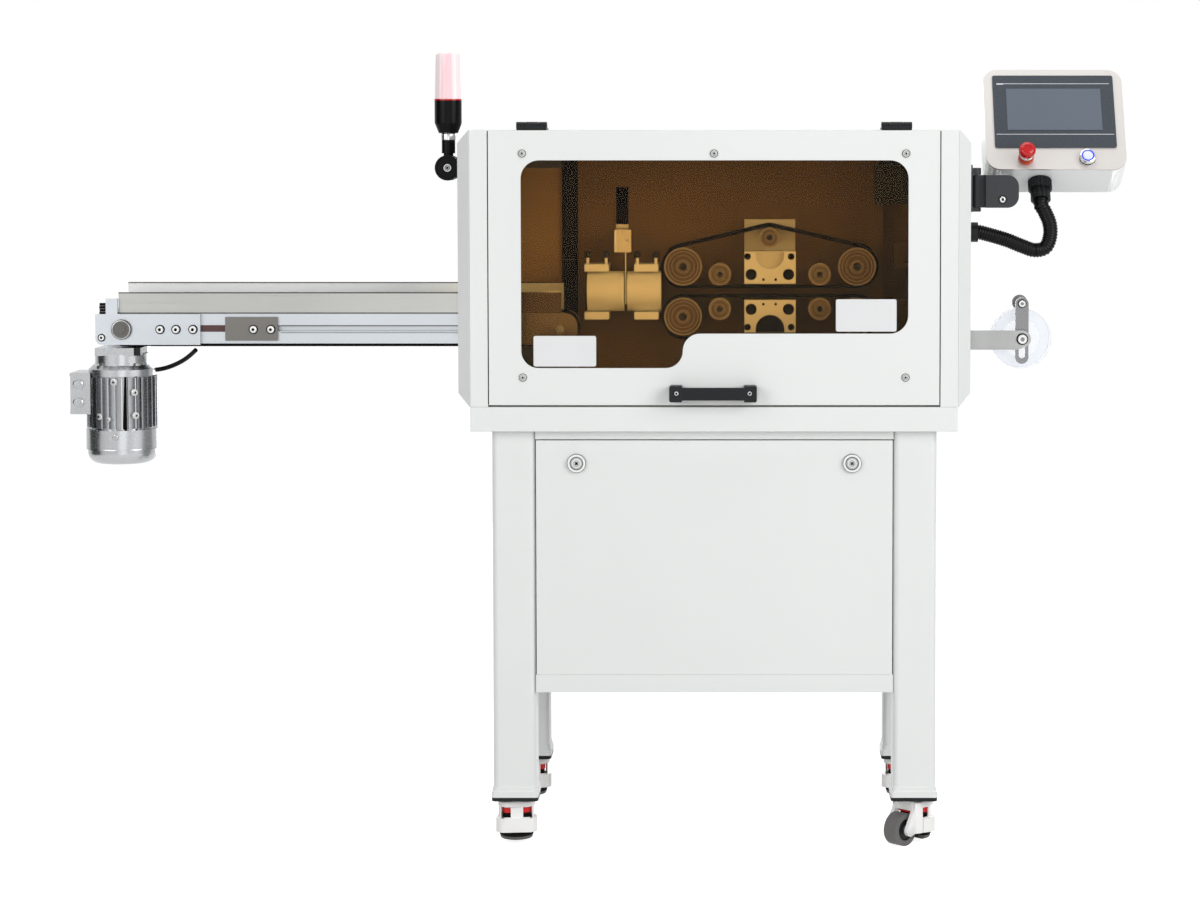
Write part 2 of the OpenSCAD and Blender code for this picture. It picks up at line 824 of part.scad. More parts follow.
// Foot that stands on the table and carries both beams
module conveyor_bracket(yf) {
  x0 = conveyor_right - 133;
  y1 = yf + conveyor_w;
  z = [cab_z + 8, cab_z + 60];
  bar([x0 - 20, yf, cab_z + seat], [x0 + 30, y1, z[0]]);
  bar([x0, yf, z[0] + seat], [x0 + 12, y1, z[1]]);
  for (y = [yf, y1 - beam_t]) bar([x0, y, z[1] + seat], [x0 + 12, y + beam_t, beam_z - seat]);
}

module end_plate_left(yf) {
  x0 = conveyor_left;
  x1 = x0 + 204;
  slab(yf - end_plate_t - seat, yf - seat) difference() {
    union() {
      translate([x0 + 12, beam_z]) square([x1 - x0 - 12, beam_h]);
      translate([x0, beam_z + 12]) square([x1 - x0, beam_h - 12]);
      translate([x0 + 12, beam_z + 12]) circle(r = 12);
    }
    translate([drum_left_x, drum_z]) circle(r = shaft_r + fit);
  }
  difference() {
    y_rod(drum_left_x, drum_z, 19, yf - end_plate_t - 5, yf - end_plate_t - 2 * seat);
    y_rod(drum_left_x, drum_z, shaft_r + fit, yf - end_plate_t - 6, yf);
  }
  for (x = [126, 157, 190]) y_rod(x0 + x, drum_z, 7, yf - end_plate_t - 4, yf - end_plate_t - 2 * seat);
}

module end_plate_right(yf) {
  x1 = conveyor_right;
  x0 = x1 - 150;
  slab(yf - end_plate_t - seat, yf - seat) difference() {
    union() {
      translate([x0, beam_z]) square([x1 - x0 - 25, beam_h + 2]);
      translate([x0, beam_z + 25]) square([x1 - x0, beam_h - 48]);
      for (z = [beam_z + 25, beam_z + beam_h - 23]) translate([x1 - 25, z]) circle(r = 25);
    }
    translate([drum_right_x, drum_z]) circle(r = shaft_r + fit);
  }
}

// Drum with a shaft that turns in the end plates
module drum(x) {
  half = conveyor_w / 2 + end_plate_t + 4;
  union() {
    y_rod(x, drum_z, drum_r, feed_y - band_w / 2 - 1, feed_y + band_w / 2 + 1);
    y_rod(x, drum_z, shaft_r, feed_y - half, feed_y + half);
  }
}

module drive_drum() {
  placed() color("silver") drum(drum_left_x);
}

module tail_drum() {
  placed() color("silver") drum(drum_right_x);
}

module conveyor_belt() {
  placed() color("dimgray") slab(feed_y - band_w / 2, feed_y + band_w / 2) difference() {
    stadium(drum_left_x, drum_right_x, drum_z, drum_r + seat + band_t);
    stadium(drum_left_x, drum_right_x, drum_z, drum_r + seat);
  }
}

// Stainless side walls of the trough, each an angle on its beam
module trough() {
  x0 = conveyor_left + 44;
  x1 = conveyor_right - 32;
  z0 = beam_z + beam_h + seat;
  half = conveyor_w / 2;
  placed() color("lightgray") {
    bar([x0, feed_y - half + 1, z0], [x1, feed_y - half + 3, z0 + trough_h]);
    bar([x0 + 40, feed_y - half + 2, z0], [x1 - 40, feed_y - half + 18, z0 + 2]);
    bar([x0, feed_y + half - 3, z0], [x1, feed_y + half - 1, z0 + trough_h + trough_step]);
    bar([x0 + 40, feed_y + half - 18, z0], [x1 - 40, feed_y + half - 2, z0 + 2]);
  }
}

// Right-angle gearbox, flange motor with fins, fan cover and terminal box
module gearmotor() {
  x = motor_x;
  y = feed_y;
  yb = feed_y + conveyor_w / 2 + end_plate_t + 5 + seat;
  // Levels under the drum axis: gearbox, flange, cone, fins, fan cover
  gear_z = drum_z - 52;
  cone_z = drum_z - 80;
  fin_z = drum_z - 92;
  fan_z = drum_z - 197;
  core_r = motor_r - 10;
  band_z = drum_z - drum_r - band_t - 2 - seat;
  placed() color("silver") {
    difference() {
      union() {
        bar([x - 42, y - 50, gear_z], [x + 34, yb + 44, band_z]);
        bar([x - 42, yb, gear_z], [x + 34, yb + 44, drum_z + 34]);
        z_rod(x, y, 51.5, gear_z - 20, gear_z + 2);
        translate([x, y, cone_z]) cylinder(r1 = 64, r2 = 55, h = 8.5);
        z_rod(x, y, 64, fin_z, cone_z + 0.5);
        z_rod(x, y, core_r, fan_z, fin_z + 1);
        for (i = [0 : fin_count - 1]) rotate_about(x, y, i * 360 / fin_count)
          bar([x + core_r - 2, y - 1.2, fan_z + 3], [x + motor_r, y + 1.2, fin_z - 2]);
        fan_cover(x, y, fan_z);
        bar([x - 93, y - 40, drum_z - 167], [x - 54, y + 40, drum_z - 86]);
        for (s = [-1, 1]) y_rod(x - 77, drum_z - 126 + s * 18, 10, y - 44, y - 39);
      }
      y_rod(drum_left_x, drum_z, shaft_r + 1, yb - 1, yb + 8);
    }
    bar([x + 34 + seat, y - 45, gear_z], [x + 46, y + 20, band_z]);
  }
}

module rotate_about(x, y, a) {
  translate([x, y, 0]) rotate([0, 0, a]) translate([-x, -y, 0]) children();
}

module fan_cover(x, y, z1) {
  r = motor_r + 1;
  lip_z = z1 - 37;
  low_z = z1 - 68;
  low_r = 67;
  round_r = 22;
  translate([x, y, 0]) rotate_extrude() union() {
    translate([0, lip_z]) square([r, z1 - lip_z]);
    translate([0, low_z]) square([low_r - round_r, z1 - low_z]);
    translate([0, low_z + round_r]) square([low_r, z1 - low_z - round_r]);
    intersection() {
      translate([low_r - round_r, low_z + round_r]) circle(r = round_r);
      translate([0, low_z]) square([low_r, round_r + 1]);
    }
  }
}

// Swept tube: rings of points round a route in space
function unit(v) = v / norm(v);
function tangent(p, i) = unit(p[min(i + 1, len(p) - 1)] - p[max(i - 1, 0)]);
function ring_side(t, up) = unit(cross(t, up));
function ring_points(p, i, r, n, up) = let (t = tangent(p, i), u = ring_side(t, up), v = cross(t, u))
  [for (k = [0 : n - 1]) p[i] + r * (cos(k * 360 / n) * u + sin(k * 360 / n) * v)];
function spline_at(p, i, t) = let (
    a = p[max(i - 1, 0)], b = p[i], c = p[i + 1], d = p[min(i + 2, len(p) - 1)])
  0.5 * (2 * b + (c - a) * t + (2 * a - 5 * b + 4 * c - d) * t * t + (3 * b - a - 3 * c + d) * t * t * t);
function smooth(p, n) = concat(
  [for (i = [0 : len(p) - 2], k = [0 : n - 1]) spline_at(p, i, k / n)], [p[len(p) - 1]]);

module tube(p, r, n, up) {
  rings = len(p);
  points = [for (i = [0 : rings - 1]) each ring_points(p, i, r, n, up)];
  sides = [for (i = [0 : rings - 2], k = [0 : n - 1]) let (a = i * n + k, b = i * n + (k + 1) % n)
    [a, b, b + n, a + n]];
  caps = [[for (k = [n - 1 : -1 : 0]) k], [for (k = [0 : n - 1]) (rings - 1) * n + k]];
  polyhedron(points = points, faces = concat(sides, caps), convexity = 6);
}

// A point of the leaning panel's frame, in the machine's own
function leant(x, y, z) = [
  hmi_left + x,
  hmi_y + y * cos(hmi_lean) + z * sin(hmi_lean),
  hmi_z - y * sin(hmi_lean) + z * cos(hmi_lean)
];

// Routes of the two cables: offsets from the motor, and from the two glands
cable_steps = [
  [52, 39, -86], [60, 43, -86], [76, 42, -83], [96, 34, -76], [116, 24, -66], [132, 13, -55], [145, 3, -44]
];
cable_route = [for (p = cable_steps) [motor_x + p.x, feed_y + p.y, drum_z + p.z]];
conduit_steps = [
  [-67, 137, -15], [-37, 138, -27], [-12, 138, -35], [9, 137, -30], [18, 135, -9], [17, 132, 16], [7, 129, 40]
];
conduit_route = concat(
  [for (p = [[14, 0], [24, 0], [44, -5]]) [flange_x + p.x, conduit_y, conduit_z + p.y]],
  [for (p = conduit_steps) [gland_x + p.x, p.y, conduit_z + p.z]],
  [for (z = [-56, -46, -36]) leant(gland_x - hmi_left, gland_y, z)]
);

module motor_cable() {
  placed() color("black") tube(smooth(cable_route, 3), 4.5, 8, [0, 1, 0.2]);
}

module hmi_conduit() {
  placed() color("black") tube(smooth(conduit_route, 3), conduit_r, 12, [0, 1, 0]);
}

// Fixed half of the lamp's folding joint
module lamp_bracket() {
  z = lamp_pivot_z;
  placed() color("black") mirror([1, 0, 0]) difference() {
    union() {
      x_rod(lamp_y, z, 24, flange_x + seat, flange_x + 5);
      for (y = [lamp_y - 15, lamp_y + 15]) {
        y_rod(lamp_x, z, 18, y - 4, y + 4);
        bar([flange_x + 4, y - 4, z - 14], [lamp_x, y + 4, z + 14]);
      }
    }
    y_rod(lamp_x, z, 6, lamp_y - 30, lamp_y + 30);
  }
}

// Folding eye, tube, collar and base of the lamp
module lamp_stem() {
  z = lamp_pivot_z;
  placed() color("black") translate([-lamp_x, lamp_y, 0]) union() {
    translate([0, 0, z]) rotate([90, 0, 0]) cylinder(r = 17, h = 20, center = true);
    translate([0, 0, z]) rotate([90, 0, 0]) cylinder(r = 6 - fit, h = 44, center = true);
    z_rod(0, 0, 9.5, z + 10, z + 30);
    z_rod(0, 0, 13, z + 28, z + 54);
    z_rod(0, 0, 13.5, z + 54, z + 67);
    translate([0, 0, z + 67]) cylinder(r1 = 18.5, r2 = 26.5, h = 20);
    z_rod(0, 0, 26.5, z + 87, z + 133);
  }
}

// Faceted lens, narrower at the top
module lamp_lens() {
  placed() color("lightpink") translate([-lamp_x, lamp_y, lamp_pivot_z + 133]) {
    cylinder(r = lens_r + 0.5, h = 4);
    translate([0, 0, 4]) cylinder(r1 = lens_r - 0.5, r2 = lens_r - 3, h = lens_h - 8);
    translate([0, 0, lens_h - 4]) cylinder(r1 = lens_r - 3, r2 = lens_r - 7, h = 4);
  }
}

// Wall half of the panel arm's swivel
module hmi_flange() {
  y = swivel_y;
  placed() color("slategray") difference() {
    union() {
      bar([flange_x + seat, y - 36, swivel_low_z], [flange_x + 6, y + 36, swivel_top_z + 6]);
      for (z = [[swivel_low_z, arm_z - seat], [arm_z + arm_h + seat, swivel_top_z]]) {
        z_rod(swivel_x, y, 9, z[0], z[1]);
        bar([flange_x + 2, y - 9, z[0]], [swivel_x, y + 9, z[1]]);
      }
    }
    z_rod(swivel_x, y, 4, swivel_low_z - 10, swivel_top_z + 10);
  }
}

// Swinging arm with the ears that carry the panel box
module hmi_arm() {
  y = swivel_y;
  z1 = arm_z + arm_h;
  half = ear_t / 2;
  placed() color("slategray") union() {
    slab(arm_y, arm_y + arm_w) intersection() {
      round_rect([swivel_x - 30, arm_z], [arm_end_x, z1], 22);
      translate([swivel_x + arm_neck, arm_z]) square([200, arm_h]);
    }
    z_rod(swivel_x, y, 9, arm_z, z1);
    bar([swivel_x, y - 9, arm_z], [swivel_x + arm_neck + 1, y + 9, z1]);
    z_rod(swivel_x, y, 4 - fit, swivel_low_z + 1, swivel_top_z - 1);
    for (x = ear_x) {
      x_rod(tilt_y, tilt_z, 11, x - half, x + half);
      bar([x - half, arm_y + arm_w - 2, tilt_z - 11], [x + half, tilt_y, tilt_z + 4]);
    }
    x_rod(tilt_y, tilt_z, 4, ear_x[0] + 2, ear_x[1] - 2);
  }
}

// Places its children in the leaning frame of the panel box
module leaning() {
  translate([hmi_left, hmi_y, hmi_z]) rotate([-hmi_lean, 0, 0]) children();
}

module hmi_outline(grow) {
  round_rect([-grow, -grow], [hmi_w + grow, hmi_h + grow], hmi_r + grow);
}

// Box with its gland and the hinge eye under it
module hmi_box() {
  // The hinge eye lies between the arm's two ears
  eye_x = [ear_x[0] + ear_t / 2 + 1 + seat, ear_x[1] - ear_t / 2 - 1 - seat];
  gx = gland_x - hmi_left;
  placed() color("gainsboro") {
    leaning() difference() {
      slab(4 + seat, hmi_d) hmi_outline(0);
      slab(3, hmi_d - 2.5) hmi_outline(-2.5);
    }
    difference() {
      union() {
        x_rod(tilt_y, tilt_z, 10, eye_x[0], eye_x[1]);
        leaning() bar([eye_x[0] - hmi_left, 23, -9], [eye_x[1] - hmi_left, 37, 1]);
      }
      x_rod(tilt_y, tilt_z, 4 + fit, ear_x[0], ear_x[1]);
    }
    color("black") leaning() difference() {
      union() {
        z_rod(gx, gland_y, 22.5, -22, -seat);
        z_rod(gx, gland_y, 19.5, -gland_h, -20);
      }
      z_rod(gx, gland_y, conduit_r + seat, -gland_h - 10, -gland_h + 14);
    }
  }
}

// Steel front plate with the glass bezel and the screen
module hmi_panel() {
  bezel = [18, 48, hmi_w - 18, hmi_h - 15];
  screen_half = 93;
  screen_z = [86, 180];
  placed() leaning() {
    color("silver") difference() {
      slab(0, 4) hmi_outline(0);
      for (s = [-1, 1]) y_rod(hmi_w / 2 + s * button_dx, button_z, 11, -1, 5);
    }
    color([0.2, 0.22, 0.26]) slab(-3 - seat, -seat)
      round_rect([bezel[0], bezel[1]], [bezel[2], bezel[3]], 4);
    color("slategray") translate([hmi_w / 2 - screen_half, -4, screen_z[0]])
      cube([2 * screen_half, 1 - 2 * seat, screen_z[1] - screen_z[0]]);
  }
}

// Mushroom head on its collar, pushed in along the panel's normal
module estop_button() {
  x = hmi_w / 2 - button_dx;
  placed() color("red") leaning() union() {
    y_rod(x, button_z, 11 - fit, -26, 8);
    y_rod(x, button_z, button_r, -40, -24);
    y_rod(x, button_z, button_r - 2, -14, -7);
  }
}

module start_button() {
  x = hmi_w / 2 + button_dx;
  placed() color("silver") leaning() union() {
    y_rod(x, button_z, 11 - fit, -10, 8);
    y_rod(x, button_z, button_r, -14, -6);
  }
}

// Arm on the right side cover that carries the guide bar behind it
module guide_arm() {
  y = feed_y - 36;
  low_z = guide_z - 21;
  high_z = guide_z + 14;
  end_r = (high_z - low_z) / 2;
  end_x = guide_x - 11;
  placed() color("dimgray") difference() {
    union() {
      bar([flange_x + seat, y - 19, low_z], [flange_x + 6, y + 31, high_z]);
      slab(y, y + 6) union() {
        translate([flange_x + 4, low_z]) square([end_x - flange_x - 4, high_z - low_z]);
        translate([end_x, low_z + end_r]) circle(r = end_r);
      }
      bar([flange_x + 4, y + 5, high_z - 6], [guide_x - 25, y + 14, high_z]);
    }
    y_rod(guide_x, guide_z, 6, y - 1, y + 7);
  }
}

// Slotted bar with the axle of the wheel and the pin of the roller
module guide_bar() {
  y = feed_y - 30 + seat;
  slot_z = guide_z - 25;
  placed() color("silver") union() {
    slab(y, y + 6) difference() {
      union() {
        translate([guide_x - 13, guide_z - 36]) square([26, 104]);
        for (z = [guide_z - 36, guide_z + 68]) translate([guide_x, z]) circle(r = 13);
      }
      translate([guide_x - 6, slot_z - 7]) square([12, 14]);
      for (e = [-7, 7]) translate([guide_x, slot_z + e]) circle(r = 6);
    }
    y_rod(guide_x, guide_z, 6 - fit, y - 10, feed_y + 28);
    y_rod(guide_x, guide_z, 11, y + 5.5, feed_y - 20 - seat);
    y_rod(guide_x, roller_z, 4, y + 5, feed_y + 20);
  }
}

module guide_wheel() {
  half = 20;
  placed() color([0.9, 0.95, 1, 0.5]) difference() {
    translate([guide_x, feed_y, guide_z]) rotate([-90, 0, 0]) rotate_extrude() polygon([
      [0, -half], [guide_r, -half], [guide_r, -half + 4], [guide_r - 22, -6],
      [guide_r - 22, 6], [guide_r, half - 4], [guide_r, half], [0, half]
    ]);
    y_rod(guide_x, guide_z, 6, feed_y - half - 1, feed_y + half + 1);
  }
}

module guide_roller() {
  placed() color("silver") difference() {
    y_rod(guide_x, roller_z, roller_r, feed_y - 20, feed_y + 18);
    y_rod(guide_x, roller_z, 4 + fit, feed_y - 21, feed_y + 19);
  }
}

// Places its children at a caster, with the wheel along local +X
module at_caster(i) {
  p = caster_places[i];
  placed() translate([p[0], p[1], 0]) rotate([0, 0, p[2]]) children();
}

// Swivelling cast body with its windows and the thumbwheel inside
module caster_housing(i) {
  top = caster_h - caster_plate_t - 2 * seat;
  body_top = top - race_h;
  w = housing_w / 2;
  // Levels of the windows and of the thumbwheel that they show
  window_z = [53, 73];
  thumb_z = [62, 72];
  at_caster(i) {
    color("whitesmoke") difference() {
      union() {
        z_rod(0, 0, 30, body_top - 1, top);
        translate([0, 0, housing_low]) linear_extrude(body_top - housing_low)
          round_rect([-housing_back, -w], [26, w], 18);
        for (s = [-1, 1]) slab(s * cheek_y - cheek_t / 2, s * cheek_y + cheek_t / 2) union() {
          translate([wheel_trail, wheel_r]) circle(r = 11);
          polygon([
            [8, housing_low + 4], [20, body_top - 4], [27, body_top - 12],
            [wheel_trail + 10.6, wheel_r + 3], [wheel_trail - 4, wheel_r - 10]
          ]);
        }
      }
      y_rod(wheel_trail, wheel_r, axle_r + fit, -w - 5, w + 5);
      bar([-housing_back + 3, -w + 3, housing_low - 1], [22, w - 3, body_top - 6]);
      bar([2, -wheel_w / 2 - 2, housing_low - 1], [27, wheel_w / 2 + 2, 67]);
      for (s = [-1, 1]) {
        bar([-housing_back - 1, s * 20 - 8, window_z[0]], [-14, s * 20 + 8, window_z[1]]);
        bar([-8, s * w - 8, window_z[0]], [10, s * w + 8, window_z[1]]);
      }
    }
    color("red") difference() {
      z_rod(foot_trail, 0, 20.5, thumb_z[0], thumb_z[1]);
      z_rod(foot_trail, 0, 6 + fit, thumb_z[0] - 1, thumb_z[1] + 1);
    }
  }
}

module caster_wheel(i) {
  at_caster(i) color("dimgray") union() {
    difference() {
      y_rod(wheel_trail, wheel_r, wheel_r, -wheel_w / 2, wheel_w / 2);
      for (s = [-1, 1]) difference() {
        y_rod(wheel_trail, wheel_r, 21, s * wheel_w / 2 - 3, s * wheel_w / 2 + 3);
        y_rod(wheel_trail, wheel_r, 9, s * wheel_w / 2 - 4, s * wheel_w / 2 + 4);
      }
    }
    y_rod(wheel_trail, wheel_r, axle_r, -27, 27);
  }
}

// Rubber pad on its threaded stem
module caster_foot(i) {
  half = foot_w / 2;
  pad_top = foot_lift + foot_pad_h;
  at_caster(i) color("dimgray") union() {
    translate([0, 0, foot_lift]) linear_extrude(foot_pad_h)
      round_rect([foot_trail - 22, -half], [foot_trail + 6, half], 13);
    z_rod(foot_trail - 5, 0, 12, pad_top - 1, pad_top + 5);
    z_rod(foot_trail, 0, 6, pad_top, caster_h - 21);
  }
}

module caster_housing_1() {
  caster_housing(0);
}

module caster_wheel_1() {
  caster_wheel(0);
}

module caster_foot_1() {
  caster_foot(0);
}

module caster_housing_2() {
  caster_housing(1);
}

module caster_wheel_2() {
  caster_wheel(1);
}

module caster_foot_2() {
  caster_foot(1);
}

module caster_housing_3() {
  caster_housing(2);
}

module caster_wheel_3() {
  caster_wheel(2);
}

module caster_foot_3() {
  caster_foot(2);
}

module caster_housing_4() {
  caster_housing(3);
}

module caster_wheel_4() {
  caster_wheel(3);
}

module caster_foot_4() {
  caster_foot(3);
}

stand_frame();
stand_panels();
lower_panel();
panel_lock_left();
panel_lock_right();
table_plate();
cabinet_shell();
side_cover_left();
side_cover_right();
machine_plate();
front_door();
window_pane();
door_handle();
door_hinges();
tube_guides();
blade_slide();
feed_blocks();
feed_belts();
inlet_guide();
door_switch();
feed_pulley_1();
feed_pulley_2();
feed_pulley_3();
feed_pulley_4();
belt_idlers();
tension_pulley_upper();
tension_pulley_lower();
conveyor_frame();
drive_drum();
tail_drum();
conveyor_belt();
trough();
gearmotor();
motor_cable();
lamp_bracket();
lamp_stem();
lamp_lens();
hmi_flange();
hmi_arm();
hmi_box();
hmi_panel();
estop_button();
start_button();
hmi_conduit();
guide_arm();
guide_bar();
guide_wheel();
guide_roller();
caster_housing_1();
caster_wheel_1();
caster_foot_1();
caster_housing_2();
caster_wheel_2();
caster_foot_2();
caster_housing_3();
caster_wheel_3();
caster_foot_3();
caster_housing_4();
caster_wheel_4();
caster_foot_4();
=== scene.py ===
import math

import bmesh
import bpy
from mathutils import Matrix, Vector


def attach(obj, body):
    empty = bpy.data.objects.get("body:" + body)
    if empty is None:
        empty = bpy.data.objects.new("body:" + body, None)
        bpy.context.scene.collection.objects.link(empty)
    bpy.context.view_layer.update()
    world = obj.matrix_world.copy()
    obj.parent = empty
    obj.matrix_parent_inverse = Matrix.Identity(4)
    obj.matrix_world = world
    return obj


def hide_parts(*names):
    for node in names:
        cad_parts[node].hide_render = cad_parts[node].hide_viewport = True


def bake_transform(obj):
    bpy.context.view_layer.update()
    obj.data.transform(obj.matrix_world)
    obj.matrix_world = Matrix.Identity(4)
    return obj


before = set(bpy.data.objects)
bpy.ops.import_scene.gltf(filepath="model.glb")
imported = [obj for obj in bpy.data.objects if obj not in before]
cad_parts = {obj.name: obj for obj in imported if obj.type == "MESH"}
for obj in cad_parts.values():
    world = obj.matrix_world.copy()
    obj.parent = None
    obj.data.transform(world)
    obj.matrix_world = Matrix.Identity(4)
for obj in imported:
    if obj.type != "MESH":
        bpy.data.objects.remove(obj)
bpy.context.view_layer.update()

# The record's frame has its origin under the middle of the outline. Sizes below are in millimetres
# from the middle of the cabinet's front, as in part.scad, and at() turns them into the frame.
ORIGIN_X = 227.0
ORIGIN_Y = -241.5
MM = 0.001


def at(x, y, z):
    return Vector(((x + ORIGIN_X) * MM, (y + ORIGIN_Y) * MM, z * MM))


def new_object(name, data):
    obj = bpy.data.objects.new(name, data)
    bpy.context.scene.collection.objects.link(obj)
    return obj


# Camera, at the photograph's place and angle
CAMERA_PLACE = at(52, -5500, 1361)
CAMERA_TILT = 3.2
CAMERA_LENS = 86.5
CAMERA_SHIFT = (-0.1178, -0.1215)


def make_camera():
    camera = new_object("camera", bpy.data.cameras.new("camera"))
    camera.location = CAMERA_PLACE
    camera.rotation_euler = (math.radians(90 - CAMERA_TILT), 0, 0)
    camera.data.lens = CAMERA_LENS
    camera.data.sensor_width = 36.0
    camera.data.shift_x, camera.data.shift_y = CAMERA_SHIFT
    camera.data.clip_end = 100.0
    bpy.context.scene.camera = camera


# Node helpers for materials
def new_material(name):
    """A material's own tree, and the socket of its surface."""
    material = bpy.data.materials.new(name)
    material.use_nodes = True
    tree = material.node_tree
    tree.nodes.clear()
    return material, tree, add(tree, "ShaderNodeOutputMaterial").inputs["Surface"]


def add(tree, kind, **values):
    """A node with its sockets and settings; a socket's spaces are written as underscores."""
    node = tree.nodes.new(kind)
    for key, value in values.items():
        socket = key.replace("_", " ")
        if socket in node.inputs:
            node.inputs[socket].default_value = value
        else:
            setattr(node, key, value)
    return node


def link(tree, a, b):
    tree.links.new(a, b)


def object_coords(tree):
    return add(tree, "ShaderNodeTexCoord").outputs["Object"]


def noise(tree, coords, scale, detail=3.0, stretch=(1, 1, 1)):
    mapping = add(tree, "ShaderNodeMapping", Scale=stretch)
    link(tree, coords, mapping.inputs["Vector"])
    texture = add(tree, "ShaderNodeTexNoise", Scale=scale, Detail=detail)
    link(tree, mapping.outputs["Vector"], texture.inputs["Vector"])
    return texture.outputs["Fac"]


def ramp(tree, factor, low, high, from_min=0.3, from_max=0.7):
    node = add(tree, "ShaderNodeMapRange", From_Min=from_min, From_Max=from_max, To_Min=low, To_Max=high)
    link(tree, factor, node.inputs["Value"])
    return node.outputs["Result"]


def mix_color(tree, factor, a, b):
    node = add(tree, "ShaderNodeMix", data_type="RGBA")
    sockets = [s for s in node.inputs if s.type == "RGBA"]
    for socket, value in zip(sockets, (a, b)):
        socket.default_value = (*value, 1.0)
    link(tree, factor, node.inputs[0])
    return [s for s in node.outputs if s.type == "RGBA"][0]


def tinge(tree, factor, color, low, high=1.0):
    """From low to high times a colour, as factor varies."""
    deep = tuple(c * low for c in color)
    pale = tuple(min(1.0, c * high) for c in color)
    return mix_color(tree, ramp(tree, factor, 0.0, 1.0), deep, pale)


def mix_shaders(tree, factor, first, second):
    mix = add(tree, "ShaderNodeMixShader")
    for source, socket in zip((factor, first, second), mix.inputs):
        link(tree, source, socket)
    return mix.outputs["Shader"]


def surface(name, color, rough, metallic=0.0, vary=0.06, rough_vary=0.08, grain=900.0, bump=0.05,
            stretch=(1, 1, 1), coat=0.0, blotch=6.0, shine=0.5, **shader):
    """A principled surface whose colour, roughness and relief vary. shine is its specular IOR level."""
    material, tree, out = new_material(name)
    bsdf = add(tree, "ShaderNodeBsdfPrincipled", Metallic=metallic, Coat_Weight=coat, Coat_Roughness=0.15,
               Specular_IOR_Level=shine, **shader)
    coords = object_coords(tree)
    fine = noise(tree, coords, grain, 2.0, stretch)
    broad = noise(tree, coords, blotch, 4.0)
    link(tree, tinge(tree, broad, color, 1 - vary, 1 + vary * 0.5), bsdf.inputs["Base Color"])
    link(tree, ramp(tree, fine, rough - rough_vary, rough + rough_vary), bsdf.inputs["Roughness"])
    relief = add(tree, "ShaderNodeBump", Strength=bump, Distance=0.0004)
    link(tree, fine, relief.inputs["Height"])
    link(tree, relief.outputs["Normal"], bsdf.inputs["Normal"])
    link(tree, bsdf.outputs["BSDF"], out)
    return material


def streaked(name, deep, pale, rough):
    """Moulded plastic with upright streaks from deep to pale: partly its own tone, partly painted highlights
    of the flutes.
    """
    material, tree, out = new_material(name)
    bsdf = add(tree, "ShaderNodeBsdfPrincipled", Specular_IOR_Level=0.4)
    streaks = noise(tree, object_coords(tree), 75.0, 2.0, (1, 1, 0.02))
    base = mix_color(tree, ramp(tree, streaks, 0.0, 1.0, 0.40, 0.58), deep, pale)
    link(tree, base, bsdf.inputs["Base Color"])
    link(tree, ramp(tree, streaks, rough, rough + 0.1), bsdf.inputs["Roughness"])
    link(tree, bsdf.outputs["BSDF"], out)
    return material


# Low, so that the white studio isn't mirrored in the window
PANE_IOR = 1.14


def pale_disc(name, color, through):
    """Thin pale plastic, mostly see-through."""
    material, tree, out = new_material(name)
    bsdf = add(tree, "ShaderNodeBsdfPrincipled", Roughness=0.25)
    haze = noise(tree, object_coords(tree), 12.0)
    link(tree, tinge(tree, haze, color, 0.96), bsdf.inputs["Base Color"])
    clear = add(tree, "ShaderNodeBsdfTransparent", Color=(*through, 1.0))
    share = ramp(tree, haze, 0.06, 0.10)
    link(tree, mix_shaders(tree, share, clear.outputs["BSDF"], bsdf.outputs["BSDF"]), out)
    return material


def tinted_pane(name, color, shadow, rough=0.02):
    """Clear coloured plastic that lets the lamps' light through it."""
    material, tree, out = new_material(name)
    bsdf = add(tree, "ShaderNodeBsdfPrincipled", IOR=PANE_IOR, Transmission_Weight=1.0)
    coords = object_coords(tree)
    link(tree, tinge(tree, noise(tree, coords, 3.0), color, 0.94), bsdf.inputs["Base Color"])
    link(tree, ramp(tree, noise(tree, coords, 40.0), rough, rough + 0.03), bsdf.inputs["Roughness"])
    clear = add(tree, "ShaderNodeBsdfTransparent", Color=(*shadow, 1.0))
    in_shadow = add(tree, "ShaderNodeLightPath").outputs["Is Shadow Ray"]
    link(tree, mix_shaders(tree, in_shadow, bsdf.outputs["BSDF"], clear.outputs["BSDF"]), out)
    return material


